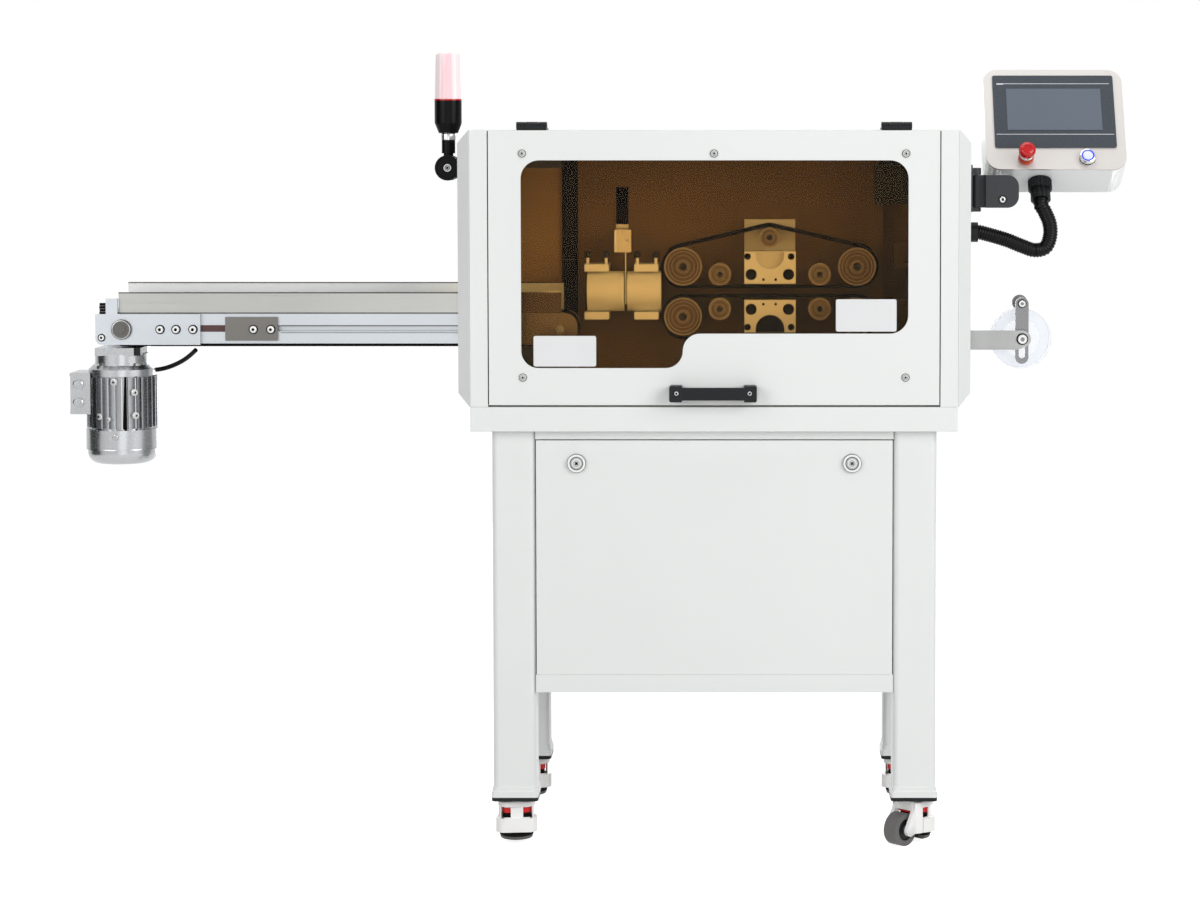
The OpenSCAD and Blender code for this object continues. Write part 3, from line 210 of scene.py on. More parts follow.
WHITE = (0.80, 0.815, 0.805)
mats = {
    "white": surface("white_powder_coat", WHITE, 0.42, vary=0.02, grain=1400, bump=0.1, blotch=2.0),
    # The panel box's white is paler than the cabinet's: painted light on its shaded faces.
    "panel": surface("panel_white_painted_light", (0.94, 0.955, 0.95), 0.38, vary=0.02, grain=1400, bump=0.08),
    "amber": tinted_pane("amber_acrylic", (0.68, 0.5, 0.257), (0.83, 0.82, 0.69)),
    "clear": pale_disc("clear_acrylic", (0.97, 0.98, 1.0), (0.975, 0.985, 1.0)),
    "disc_rim": surface("disc_rim", (0.5, 0.53, 0.5), 0.35, vary=0.05),
    "black": surface("black_moulding", (0.01, 0.011, 0.012), 0.42, vary=0.25, grain=1200, bump=0.12,
                     shine=0.18),
    "black_gloss": surface("black_glossy", (0.008, 0.008, 0.009), 0.2, vary=0.2, grain=600, bump=0.03,
                           shine=0.3),
    "lamp_black": surface("lamp_black", (0.0035, 0.0035, 0.004), 0.28, vary=0.2, bump=0.04, shine=0.08),
    "belt": surface("belt_rubber", (0.006, 0.0055, 0.005), 0.7, vary=0.3, grain=700, bump=0.2, shine=0.06),
    "foot": surface("foot_rubber", (0.13, 0.125, 0.12), 0.5, vary=0.25, grain=500, bump=0.2, shine=0.25),
    "tyre": surface("caster_tread", (0.135, 0.13, 0.128), 0.55, vary=0.15, grain=500, bump=0.2),
    "aluminium": surface("anodised_aluminium", (0.45, 0.475, 0.5), 0.36, 0.85, vary=0.03, grain=260,
                         bump=0.03, rough_vary=0.03, stretch=(0.03, 1, 1)),
    "back_plate": surface("dark_machine_plate", (0.138, 0.084, 0.038), 0.48, vary=0.1, grain=500,
                          bump=0.03, rough_vary=0.04, blotch=2.5, shine=0.12),
    # A warm tan that paints on the light the cabinet's back wall gets through the window.
    "painted_light_wall": surface("inner_wall_painted_light", (0.3, 0.19, 0.085), 0.5, vary=0.12, grain=500, bump=0.03,
                          blotch=2.5, shine=0.12),
    "milled": surface("milled_block", (0.74, 0.73, 0.71), 0.4, 0.25, vary=0.03, grain=300, bump=0.03,
                      rough_vary=0.05, stretch=(1, 1, 0.05)),
    "brushed": surface("brushed_block", (0.6, 0.58, 0.545), 0.42, 0.25, grain=300, bump=0.1,
                       stretch=(0.03, 1, 1)),
    "satin": surface("satin_barrel", (0.78, 0.77, 0.74), 0.45, 0.15, vary=0.03, grain=700, bump=0.03,
                     rough_vary=0.04, blotch=3.0),
    "hole": surface("hole_shade", (0.009, 0.007, 0.006), 0.8, vary=0.2, shine=0.05),
    "cast": surface("cast_aluminium", (0.41, 0.42, 0.43), 0.25, 0.95, grain=420, bump=0.015,
                    rough_vary=0.04),
    # Painted shade for the faces between the motor's fins.
    "fin_gap_shade": surface("fin_gap_shade", (0.36, 0.37, 0.38), 0.4, 0.7, vary=0.15, grain=420, bump=0.1),
    "steel": surface("plated_steel", (0.34, 0.345, 0.345), 0.3, 0.9, vary=0.08, grain=300),
    "arm_steel": surface("ground_arm", (0.35, 0.355, 0.35), 0.36, 0.8, vary=0.1, grain=300, bump=0.015,
                         stretch=(0.05, 1, 1), rough_vary=0.04, blotch=18.0),
    "lock": surface("lock_nickel", (0.4, 0.405, 0.41), 0.38, 0.5, vary=0.1, grain=300, bump=0.03),
    "dark_steel": surface("dark_steel", (0.215, 0.215, 0.22), 0.32, 0.85, vary=0.08, grain=300),
    "grey_plate": surface("grey_cover_plate", (0.155, 0.148, 0.135), 0.4, 0.4, grain=500),
    # Also painted shade over the trough's end inside the cabinet.
    "turned": surface("turned_pulley_and_shade", (0.105, 0.072, 0.05), 0.34, 0.5, vary=0.1, grain=500, bump=0.06),
    # Also painted shade on the conveyor frame's end inside the cabinet.
    "idler_finish_and_shade": surface("turned_idler_and_shade", (0.19, 0.155, 0.125), 0.32, 0.6, vary=0.1, grain=500, bump=0.06),
    "rim": surface("turned_rim", (0.3, 0.25, 0.205), 0.32, 0.3, vary=0.08, grain=500, bump=0.02),
    "cap": surface("bearing_cap", (0.105, 0.1, 0.092), 0.34, 0.6, vary=0.08, grain=500, bump=0.03),
    "screw": surface("screw_steel", (0.4, 0.4, 0.4), 0.25, 1.0, vary=0.1, grain=600, bump=0.02),
    "stainless": surface("stainless_sheet", (0.37, 0.372, 0.355), 0.3, 0.9, vary=0.04, grain=220,
                         bump=0.03, rough_vary=0.03, stretch=(0.015, 1, 1)),
    # Bright sheet metal, also a painted highlight on the trough's back wall.
    "bright_metal_and_highlight": surface("bright_sheet", (0.76, 0.77, 0.76), 0.4, 0.3, vary=0.04, grain=300, bump=0.0),
    "front_steel": surface("satin_front", (0.56, 0.535, 0.515), 0.4, 0.6, vary=0.03, grain=260,
                           bump=0.03, rough_vary=0.03, stretch=(0.02, 1, 1)),
    "blade": surface("ground_blade", (0.6, 0.6, 0.6), 0.18, 1.0, vary=0.05, grain=300,
                     stretch=(1, 1, 0.05)),
    "arm": surface("arm_paint", (0.029, 0.031, 0.035), 0.4, vary=0.08, bump=0.08, shine=0.3),
    "bezel": surface("bezel_film", (0.052, 0.061, 0.074), 0.3, vary=0.08, grain=500, bump=0.02, shine=0.2),
    "screen": surface("screen_glass", (0.12, 0.142, 0.176), 0.12, vary=0.03, grain=300, bump=0.0,
                      shine=0.2),
    "white_line": surface("printed_line", (0.6, 0.62, 0.66), 0.4, vary=0.03),
    "red": surface("red_plastic", (0.52, 0.004, 0.005), 0.16, vary=0.1, grain=500, bump=0.02, coat=0.15,
                   shine=0.3),
    "red_base": surface("red_base_ring", (0.52, 0.06, 0.02), 0.35, vary=0.08, grain=500, bump=0.02),
    "caster_white": surface("caster_nylon", (0.97, 0.965, 0.95), 0.45, vary=0.02, bump=0.08),
    "inlet": surface("dark_inlet", (0.075, 0.05, 0.032), 0.4, 0.3, vary=0.1, grain=500, bump=0.03,
                     shine=0.2),
    "red_matt": surface("red_thumbwheel", (0.66, 0.012, 0.01), 0.38, vary=0.1, grain=700, bump=0.1,
                        shine=0.3),
    "insert": surface("dark_red_insert", (0.05, 0.012, 0.01), 0.45, vary=0.2, grain=400, bump=0.15),
    "blue_ring": surface("blue_ring", (0.02, 0.04, 0.8), 0.3, vary=0.05, Emission_Strength=0.35,
                         Emission_Color=(0.03, 0.07, 1.0, 1.0)),
    "lens": streaked("lens_pink", (0.98, 0.66, 0.7), (1.0, 0.86, 0.88), 0.2),
    "label": surface("blank_label", (0.76, 0.765, 0.77), 0.35, vary=0.03, grain=400, bump=0.02),
    "button_face": surface("button_face", (0.7, 0.74, 0.86), 0.25, vary=0.03),
    "conduit": surface("conduit_plastic", (0.0045, 0.0045, 0.005), 0.28, vary=0.2, grain=500, shine=0.13),
    "chrome": surface("chrome", (0.56, 0.56, 0.56), 0.14, 1.0, vary=0.03, grain=300, bump=0.02),
}


def four(name):
    return [f"{name}_{i}" for i in range(1, 5)]


# The main material of each CAD node
NODE_MATERIALS = {
    "white": ["stand_frame", "stand_panels", "lower_panel", "table_plate", "cabinet_shell",
              "side_cover_left", "side_cover_right", "front_door"],
    "caster_white": four("caster_housing"),
    "inlet": ["inlet_guide"],
    "panel": ["hmi_box"],
    "amber": ["window_pane"],
    "clear": ["guide_wheel"],
    "black": ["door_handle", "door_hinges", "door_switch", "motor_cable", "hmi_conduit"]
             + four("caster_foot"),
    "lamp_black": ["lamp_bracket", "lamp_stem"],
    "belt": ["feed_belts", "conveyor_belt"],
    "tyre": four("caster_wheel"),
    "aluminium": ["conveyor_frame"],
    "back_plate": ["machine_plate"],
    "milled": ["feed_blocks"],
    "satin": ["tube_guides"],
    "cast": ["gearmotor"],
    "arm_steel": ["guide_arm"],
    "steel": ["panel_lock_left", "panel_lock_right", "drive_drum", "tail_drum", "start_button"],
    "dark_steel": ["guide_bar", "guide_roller"],
    "turned": four("feed_pulley"),
    "idler_finish_and_shade": ["belt_idlers", "tension_pulley_upper", "tension_pulley_lower"],
    "stainless": ["trough"],
    "front_steel": ["hmi_panel"],
    "blade": ["blade_slide"],
    "arm": ["hmi_flange", "hmi_arm"],
    "red": ["estop_button"],
    "lens": ["lamp_lens"],
}


# White sheets whose edges stay sharp, so that the gap round the door stays a narrow dark line
NARROW_EDGES = ("front_door", "cabinet_shell")


def dress_nodes():
    """Gives each CAD node its material, and breaks its sharp edges so that they catch light."""
    for key, names in NODE_MATERIALS.items():
        for name in names:
            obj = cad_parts[name]
            obj.data.materials.clear()
            obj.data.materials.append(mats[key])
            # A bevel would draw creases across the large flat face with the two lock holes
            if name != "lower_panel":
                rounded = key in ("white", "panel", "arm") and name not in NARROW_EDGES
                soften(obj, 0.0012 if rounded else 0.0005)


def soften(obj, width):
    weld = obj.modifiers.new("weld", "WELD")
    weld.merge_threshold = 0.00001
    bevel = obj.modifiers.new("bevel", "BEVEL")
    bevel.width = width
    bevel.segments = 2
    bevel.limit_method = "ANGLE"
    bevel.angle_limit = math.radians(35)
    bevel.harden_normals = False
    weighted = obj.modifiers.new("weighted_normals", "WEIGHTED_NORMAL")
    weighted.keep_sharp = True
    weighted.weight = 100


def make_sheet(name, corners, material):
    """A sheet of four corners."""
    mesh = bpy.data.meshes.new(name)
    mesh.from_pydata(corners, [], [(0, 1, 2, 3)])
    mesh.materials.append(material)
    sheet = new_object(name, mesh)
    return sheet


def make_stage():
    """Pale floor, dark cards, the world's light and the lamps."""
    material, tree, out = new_material("floor_paper")
    diffuse = add(tree, "ShaderNodeBsdfDiffuse", Color=(0.60, 0.60, 0.60, 1.0)).outputs["BSDF"]
    glow = add(tree, "ShaderNodeEmission", Strength=0.84).outputs["Emission"]
    both = add(tree, "ShaderNodeAddShader")
    link(tree, diffuse, both.inputs[0])
    link(tree, glow, both.inputs[1])
    link(tree, mix_shaders(tree, seen_directly(tree), diffuse, both.outputs["Shader"]), out)
    far = 40.0
    make_sheet("floor", [(-far, -far, 0), (far, -far, 0), (far, far, 0), (-far, far, 0)], material)
    material, tree, out = new_material("card_felt")
    link(tree, add(tree, "ShaderNodeBsdfDiffuse", Color=(0.03, 0.03, 0.03, 1.0)).outputs["BSDF"], out)
    make_card("card_left", -3400, material)
    make_card("card_right", 3400, material)
    make_world()
    area_light("key_light", (3000, -2600, 2300), (0, 150, 850), 2.6, 100.0)
    area_light("fill_light", (-2800, -2800, 2200), (0, 150, 850), 2.4, 54.0)
    area_light("front_light", (-150, -4200, 1000), (0, 150, 700), 2.0, 14.0)
    area_light("top_light", (0, 300, 3900), (0, 200, 900), 2.6, 40.0)
    area_light("back_light", (0, 4700, 1100), (0, 250, 800), 2.6, 80.0)


def make_card(name, x, material):
    """A dark card beside the machine, seen only in its bright metal, as round metal is lit in a studio."""
    corners = [at(x, y, z) for y, z in ((-900, 200), (1100, 200), (1100, 2300), (-900, 2300))]
    card = make_sheet(name, corners, material)
    card.visible_camera = False
    card.visible_diffuse = False
    card.visible_shadow = False
    card.visible_transmission = False


def seen_directly(tree):
    """1 for a ray from the camera, a mirror or through glass."""
    path = add(tree, "ShaderNodeLightPath")
    seen = path.outputs["Is Camera Ray"]
    for name in ("Is Glossy Ray", "Is Transmission Ray"):
        either = add(tree, "ShaderNodeMath", operation="MAXIMUM")
        link(tree, seen, either.inputs[0])
        link(tree, path.outputs[name], either.inputs[1])
        seen = either.outputs[0]
    return seen


def make_world():
    world = bpy.data.worlds.new("studio")
    bpy.context.scene.world = world
    world.use_nodes = True
    tree = world.node_tree
    tree.nodes.clear()
    out = add(tree, "ShaderNodeOutputWorld").inputs["Surface"]
    white = (1.0, 1.0, 1.0, 1.0)
    light, seen = (add(tree, "ShaderNodeBackground", Color=white, Strength=strength).outputs["Background"]
                   for strength in (0.30, 1.0))
    link(tree, mix_shaders(tree, seen_directly(tree), light, seen), out)


def area_light(name, place, target, size, power):
    lamp = new_object(name, bpy.data.lights.new(name, "AREA"))
    lamp.data.size = size
    lamp.data.energy = power
    lamp.location = at(*place)
    lamp.rotation_euler = (at(*target) - at(*place)).to_track_quat("-Z", "Y").to_euler()


# Piece builders, in millimetres from the middle of the cabinet's front
def add_object(name, bm, materials, angle=None):
    """Turns bm into an object with smooth faces. Edges sharper than angle stay sharp."""
    bmesh.ops.recalc_face_normals(bm, faces=bm.faces[:])
    mesh = bpy.data.meshes.new(name)
    bm.to_mesh(mesh)
    bm.free()
    mesh.polygons.foreach_set("use_smooth", [True] * len(mesh.polygons))
    if angle:
        mesh.set_sharp_from_angle(angle=math.radians(angle))
    for key in materials:
        mesh.materials.append(mats[key])
    return new_object(name, mesh)


def add_piece(name, bm, materials, body="root"):
    """Turns bm into a piece that rides a body."""
    obj = add_object(name, bm, materials, 35.0)
    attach(obj, body)
    return obj


def join_rings(bm, rings, index=0, ends=False):
    """Faces from ring to ring, where a ring of one point is a tip. ends closes the outer two."""
    for low, high in zip(rings, rings[1:]):
        steps = max(len(low), len(high))
        for k in range(steps):
            n = (k + 1) % steps
            corners = [low[k % len(low)], low[n % len(low)], high[n % len(high)], high[k % len(high)]]
            corners = list(dict.fromkeys(corners))
            if len(corners) > 2:
                bm.faces.new(corners).material_index = index
    if ends:
        bm.faces.new(rings[0][::-1]).material_index = index
        bm.faces.new(rings[-1]).material_index = index


def hexagon(radius):
    """A ring of six flats, radius to the corners, for turn()."""
    def at_angle(a):
        return radius * math.cos(math.pi / 6) / math.cos(a % (math.pi / 3) - math.pi / 6)
    return at_angle


def cross(length, width):
    """A cross-shaped ring for turn()."""
    def at_angle(a):
        off = abs((a + math.pi / 4) % (math.pi / 2) - math.pi / 4)
        if math.tan(off) * length <= width:
            return length / math.cos(off)
        return width / math.sin(off)
    return at_angle


def turn(bm, place, axis, profile, steps=32, index=0, start=None):
    """Adds a turned form: profile holds (radius or ring, height along the axis)."""
    axis = Vector(axis).normalized()
    side = (Vector(start) if start else axis.orthogonal()).normalized()
    other = axis.cross(side)
    centre = at(*place)
    rings = []
    for radius, height in profile:
        middle = centre + axis * (height * MM)
        if not callable(radius) and radius <= 0:
            rings.append([bm.verts.new(middle)])
            continue
        ring = []
        for k in range(steps):
            a = 2 * math.pi * k / steps
            r = radius(a) if callable(radius) else radius
            ring.append(bm.verts.new(middle + (side * math.cos(a) + other * math.sin(a)) * (r * MM)))
        rings.append(ring)
    join_rings(bm, rings, index)


def block(bm, low, high, index=0):
    corners = [(x, y, z) for x in (low[0], high[0]) for y in (low[1], high[1]) for z in (low[2], high[2])]
    verts = [bm.verts.new(at(*c)) for c in corners]
    for ids in ((0, 1, 3, 2), (4, 6, 7, 5), (0, 4, 5, 1), (2, 3, 7, 6), (0, 2, 6, 4), (1, 5, 7, 3)):
        bm.faces.new([verts[i] for i in ids]).material_index = index


def add_blocks(name, materials, *boxes, body="root"):
    """A piece of blocks, each with its low and high corner and, where it isn't the first, its finish."""
    bm = bmesh.new()
    for box in boxes:
        block(bm, *box)
    add_piece(name, bm, materials, body)


def outline(bm, points, y0, y1, index=0, placed=at):
    """A plate of points (x, z), from y0 back to y1."""
    rings = [[bm.verts.new(placed(x, y, z)) for x, z in points] for y in (y0, y1)]
    join_rings(bm, rings, index, True)


def round_rect(x0, z0, x1, z1, r, steps=8):
    points = []
    corners = ((x1 - r, z1 - r), (x0 + r, z1 - r), (x0 + r, z0 + r), (x1 - r, z0 + r))
    for quarter, (cx, cz) in enumerate(corners):
        for k in range(steps + 1):
            a = math.radians(90 * quarter + 90 * k / steps)
            points.append((cx + r * math.cos(a), cz + r * math.sin(a)))
    return points


def screw_head(bm, place, axis, head, socket, steps, index, recess):
    """A turned head and its recess, which has the head's finish where recess is None."""
    turn(bm, place, axis, head, steps, index)
    turn(bm, place, axis, socket, steps, index if recess is None else recess)


def socket_screw(bm, place, axis, r, h, index=0, recess=None):
    """Cap screw with a hexagon socket. The head stands on place."""
    c = r * 0.14
    mouth = hexagon(r * 0.52)
    head = [(0, 0), (r, 0), (r, h - c), (r - c, h), (mouth, h)]
    screw_head(bm, place, axis, head, [(mouth, h), (mouth, h * 0.35), (0, h * 0.3)], 24, index, recess)


def button_screw(bm, place, axis, r, h, index=0, recess=None):
    """Low domed screw with a hexagon socket."""
    mouth = hexagon(r * 0.46)
    head = [(0, 0), (r, 0), (r, h * 0.3), (r * 0.93, h * 0.62), (r * 0.75, h * 0.92), (r * 0.6, h),
            (mouth, h)]
    screw_head(bm, place, axis, head, [(mouth, h), (mouth, h * 0.3), (0, h * 0.25)], 24, index, recess)


def cross_screw(bm, place, axis, r, h, index=0, recess=None):
    """Pan head screw with a cross recess."""
    mouth = cross(r * 0.55, r * 0.14)
    head = [(0, 0), (r, 0), (r, h * 0.45), (r * 0.86, h * 0.85), (r * 0.66, h), (mouth, h)]
    socket = [(mouth, h), (cross(r * 0.5, r * 0.12), h * 0.4), (0, h * 0.35)]
    screw_head(bm, place, axis, head, socket, 32, index, recess)


def washer(bm, place, axis, r, hole, h, index=0):
    section = [(hole, 0), (r, 0), (r, h * 0.8), (r - h * 0.2, h), (hole, h), (hole, 0)]
    turn(bm, place, axis, section, 32, index)


def paint(name, key, test):
    """Gives the faces of a node whose middle passes test(x, y, z) another material."""
    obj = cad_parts[name]
    obj.data.materials.append(mats[key])
    index = len(obj.data.materials) - 1
    for face in obj.data.polygons:
        c = face.center
        if test(c.x / MM - ORIGIN_X, c.y / MM - ORIGIN_Y, c.z / MM):
            face.material_index = index


FRONT = (0, -1, 0)
RIGHT = (1, 0, 0)
LEFT = (-1, 0, 0)
UP = (0, 0, 1)
BACK = (0, 1, 0)

# Panel box: leaning frame, as in part.scad
HMI = (530.0, 120.0, 1310.0)
HMI_LEAN = math.radians(30)


def leaning(x, y, z):
    """A point in the panel box's own frame, as millimetres of the cabinet."""
    c, s = math.cos(-HMI_LEAN), math.sin(-HMI_LEAN)
    return (HMI[0] + x, HMI[1] + y * c - z * s, HMI[2] + y * s + z * c)


PANEL_OUT = (0, -math.cos(HMI_LEAN), math.sin(HMI_LEAN))
PANEL_UP = (0, math.sin(HMI_LEAN), math.cos(HMI_LEAN))


def on_panel(x, y, z):
    return at(*leaning(x, y, z))


def make_door_details():
    bm = bmesh.new()
    for x, z in ((-366, 1341), (0, 1341), (366, 1341), (-366, 913), (366, 913)):
        washer(bm, (x, 0, z), FRONT, 7.8, 6.2, 1.6, 3)
        washer(bm, (x, 0, z), FRONT, 6.15, 4.8, 2.2, 1)
        button_screw(bm, (x, 0, z), FRONT, 4.7, 3.4, 0, 2)
    add_piece("window_screws", bm, ["screw", "bright_metal_and_highlight", "hole", "cap"], "door")
    bm = bmesh.new()
    for x in (-72, 68):
        socket_screw(bm, (x, -12.2, 883.5), FRONT, 4.6, 6, 0, 1)
    add_piece("handle_screws", bm, ["screw", "hole"], "door")
    ribs = [((-58, -32.6, 874 + 4 * k), (54, -31.6, 875.5 + 4 * k)) for k in range(5)]
    add_blocks("handle_ribs", ["black"], *ribs, body="door")
    bm = bmesh.new()
    for box in ((-345.6, 934, -225.8, 992.6), (232.7, 1001, 348.8, 1062.8)):
        outline(bm, round_rect(*box, 4), 2.0, 2.7)
    add_piece("label_plates", bm, ["label"], "door")
    bm = bmesh.new()
    for s in (-1, 1):
        for x in (-21, 21):
            cross_screw(bm, (s * 349 + x, 48, 1390.6), UP, 3.6, 2.2)
    add_piece("hinge_screws", bm, ["screw"])
    # Dark sheets behind the gaps at the door's sides: painted shade in the gaps.
    seals = [((s * 432 - 0.95, 0.15, 862), (s * 432 + 0.95, 24, 1384)) for s in (-1, 1)]
    add_blocks("door_gap_shades", ["hole"], *seals)


# Face of a panel lock: finish and turned profile, from the rim to the middle's cross recess
LOCK_FACE = (
    (1, [(18.2, 0), (18.2, 1.0), (17.2, 2.0)]),
    (2, [(17.2, 2.0), (16.0, 2.4), (13.2, 2.2)]),
    (1, [(13.2, 2.2), (12.4, 1.2), (11.2, 1.2)]),
    (0, [(11.2, 1.2), (9.0, 1.4)]),
    (2, [(9.0, 1.4), (8.2, 2.6), (6.8, 2.8)]),
    (0, [(6.8, 2.8), (cross(3.4, 1.2), 3.0)]),
    (3, [(cross(3.4, 1.2), 3.0), (cross(3.4, 1.2), 0.8), (0, 0.8)]),
)


def make_stand_details():
    for side, name in ((-1, "left"), (1, "right")):
        bm = bmesh.new()
        for index, profile in LOCK_FACE:
            turn(bm, (side * 265, 16.6, 746), FRONT, profile, 48, index)
        add_piece(f"lock_face_{name}", bm, ["lock", "cap", "bright_metal_and_highlight", "hole"], f"lock_{name}")
    for i, (x, y, heading) in enumerate(CASTERS, 1):
        make_caster_details(i, x, y, math.radians(heading))


# Each caster's place on the floor, and its heading in degrees
CASTERS = [(-386.5, 61.5, 96), (386.5, 61.5, 226), (-386.5, 444.5, 112), (386.5, 444.5, 74)]
# How far the wheel's axle and the foot lie from the swivel's axis, and how high the axle
WHEEL_TRAIL = 37.5
FOOT_TRAIL = -3.0
AXLE_Z = 31.5


def make_caster_details(i, x, y, heading):
    along = Vector((math.cos(heading), math.sin(heading), 0))
    side = Vector((-math.sin(heading), math.cos(heading), 0))
    axle = Vector((x, y, AXLE_Z)) + along * WHEEL_TRAIL
    bm = bmesh.new()
    for s in (-1, 1):
        turn(bm, tuple(axle + side * (s * 28.2)), tuple(side * s),
             [(0, 0), (8.5, 0), (8.5, 1.4), (7, 2.6), (3, 3.2), (0, 3.4)], 28)
    add_piece(f"axle_cap_{i}", bm, ["white"], f"caster_{i}")
    bm = bmesh.new()
    for s in (-1, 1):
        turn(bm, tuple(axle + side * (s * 12.1)), tuple(side * s),
             [(9.2, 0), (9.2, 2.2), (12, 1.2), (19, 0.9), (20.6, 2.4), (20.8, 0)], 40)
    add_piece(f"wheel_hub_{i}", bm, ["black"], f"wheel_{i}")
    stem = tuple(Vector((x, y, 0)) + along * FOOT_TRAIL)
    bm = bmesh.new()
    edge = knurled(29.0, 20.2, 24.0)
    turn(bm, stem, UP, [(7.5, 61.8), (edge, 61.8), (edge, 72.8), (7.5, 72.8)], 96, 0, along)
    core = knurled(27.0, 20.2, 11.0)
    turn(bm, stem, UP, [(7.5, 52.0), (core, 52.0), (core, 61.4), (7.5, 61.4)], 96, 1, along)
    add_piece(f"thumbwheel_{i}", bm, ["red_matt", "belt"], f"caster_{i}")
    bm = bmesh.new()
    for index, profile in enumerate((((25.5, 9.4), (30.0, 10.6), (31.6, 13.0), (31.8, 16.8)),
                                     ((32.6, 17.0), (33.0, 18.0), (33.0, 21.4), (31.5, 22.4)))):
        rings = [(knurled(r, 99, 5.5), z) for r, z in profile]
        turn(bm, stem, UP, [(0, profile[0][1])] + rings + [(0, profile[-1][1])], 96, index, along)
    add_piece(f"foot_rim_{i}", bm, ["foot", "belt"], f"foot_{i}")
    bm = bmesh.new()
    centre = Vector((x, y, 0))
    for half, z0, z1 in ((40.0, 23.5, 51.5), (35.8, 74.0, 84.0)):
        plan = [(9, half - 3.5), (-5, half)]
        for k in range(9):
            a = math.radians(90 * k / 8)
            plan.append((-13 - 17.5 * math.sin(a), half - 17.5 + 17.5 * math.cos(a)))
        shrink = 32.4 / half
        inner = [(px * shrink * 1.04 if px < 0 else px, py * shrink) for px, py in plan]
        add_band(bm, centre, along, side, plan + mirrored(plan), inner + mirrored(inner), z0, z1)
    for s in (-1, 1):
        outer = [(10.2, s * 34.2), (16, s * 33.8), (21, s * 31.8), (26.5, s * 28.6)]
        inner = [(10.2, s * 32.9), (16, s * 32.2), (20.4, s * 30.2), (25.5, s * 28.1)]
        add_band(bm, centre, along, side, outer, inner, 23.5, 84.0)
    add_piece(f"caster_skirt_{i}", bm, ["caster_white"], f"caster_{i}")


def knurled(radius, back, front):
    """A ring for turn() that is cut off flat at back and front, seen along its start direction."""
    def at_angle(a):
        c = math.cos(a)
        limit = radius
        if abs(c) > 0.001:
            limit = front / c if c > 0 else -back / c
        return min(radius + 0.25 * math.cos(32 * a), limit)
    return at_angle


def mirrored(plan):
    return [(px, -py) for px, py in reversed(plan)]


def add_band(bm, centre, along, side, outer, inner, z0, z1):
    """A wall between two plans of as many points, in a caster's own directions."""
    rings = []
    for far, near_point in zip(outer, inner):
        section = [(*far, z0 + 1), (*far, z1), (*near_point, z1), (*near_point, z0)]
        places = [centre + along * a + side * b + Vector((0, 0, z)) for a, b, z in section]
        rings.append([bm.verts.new(at(*place)) for place in places])
    join_rings(bm, rings, 0, True)


def make_panel_details():
    bm = bmesh.new()
    for corners, y in (([(26, 191.2), (248, 191.2), (248, 192.4), (26, 192.4)], -3.7),
                       ([(26, 189.8), (38, 189.8), (41, 192.6), (26, 192.6)], -3.8),
                       ([(22, 76.0), (252, 76.0), (252, 77.2), (22, 77.2)], -3.7)):
        outline(bm, corners, y, -3.2, placed=on_panel)
    add_piece("panel_lines", bm, ["white_line"], "panel_box")
    bm = bmesh.new()
    outline(bm, round_rect(44, 86, 230, 180, 1.5), -4.2, -3.9, placed=on_panel)
    add_piece("screen_glass", bm, ["screen"], "panel_box")
    make_estop()
    make_start_button()
    make_grip("gland_grip_box", "panel_box", PANEL_UP, 20,
              lambda u, v: leaning(107 + 22.2 * u, 45 + 22.2 * v, -21.6))
    make_grip("gland_grip_wall", "root", RIGHT, 5.6,
              lambda u, v: (492.8, 136 + 21.7 * u, 1187 + 21.7 * v))
    bm = bmesh.new()
    washer(bm, (556.4, 70, 1252), FRONT, 8.6, 6.4, 1.2, 1)
    button_screw(bm, (556.4, 70, 1252), FRONT, 6.6, 4.2, 0, 1)
    add_piece("arm_screw", bm, ["chrome", "black_gloss"], "panel_arm")


def make_grip(name, body, axis, height, placed):
    """The ribs round a gland's nut. placed() puts a point of the unit circle on the nut."""
    bm = bmesh.new()
    for k in range(24):
        a = 2 * math.pi * k / 24
        turn(bm, placed(math.cos(a), math.sin(a)), axis, [(0, 0), (1.4, 0), (1.4, height), (0, height)], 8)
    add_piece(name, bm, ["black"], body)


def make_estop():
    bm = bmesh.new()
    place = leaning(77, 0, 24)
    turn(bm, place, PANEL_OUT, [(12.0, 24), (15.2, 25), (16.4, 28), (16.6, 33), (15.6, 38), (12.5, 41.2),
                                (7.5, 42.2), (7.0, 40.8), (0, 40.6)], 48)
    turn(bm, place, PANEL_OUT, [(11.0, 23.8), (13.4, 23.8), (13.4, 14.6), (11.0, 14.6)], 48, 1)
    turn(bm, place, PANEL_OUT, [(10.9, 14.6), (10.9, -8), (0, -8)], 48, 2)
    estop = add_piece("estop_head", bm, ["red", "chrome", "red_base"], "estop")
    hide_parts("estop_button")
    bm = bmesh.new()
    section = [(11.1, 0.1), (15.0, 0.1), (15.0, 6.6), (14.5, 8.4), (11.1, 8.4), (11.1, 0.1)]
    turn(bm, place, PANEL_OUT, section, 48)
    add_piece("estop_base", bm, ["red_base"], "panel_box")


def make_start_button():
    bm = bmesh.new()
    place = leaning(197, 0, 24)
    turn(bm, place, PANEL_OUT, [(0, -8), (10.9, -8), (10.9, 4.4), (15.6, 4.4), (15.9, 8.6), (14.8, 12.4),
                                (12.6, 13.2)], 48)
    turn(bm, place, PANEL_OUT, [(12.6, 13.2), (9.6, 13.3)], 48, 1)
    turn(bm, place, PANEL_OUT, [(9.6, 13.3), (9.2, 12.9), (7.6, 13.5), (0, 13.7)], 48, 2)
    start = add_piece("start_head", bm, ["chrome", "blue_ring", "button_face"], "start")
    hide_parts("start_button")
    bm = bmesh.new()
    washer(bm, place, PANEL_OUT, 16.2, 11.1, 1.2)
    add_piece("start_base", bm, ["chrome"], "panel_box")


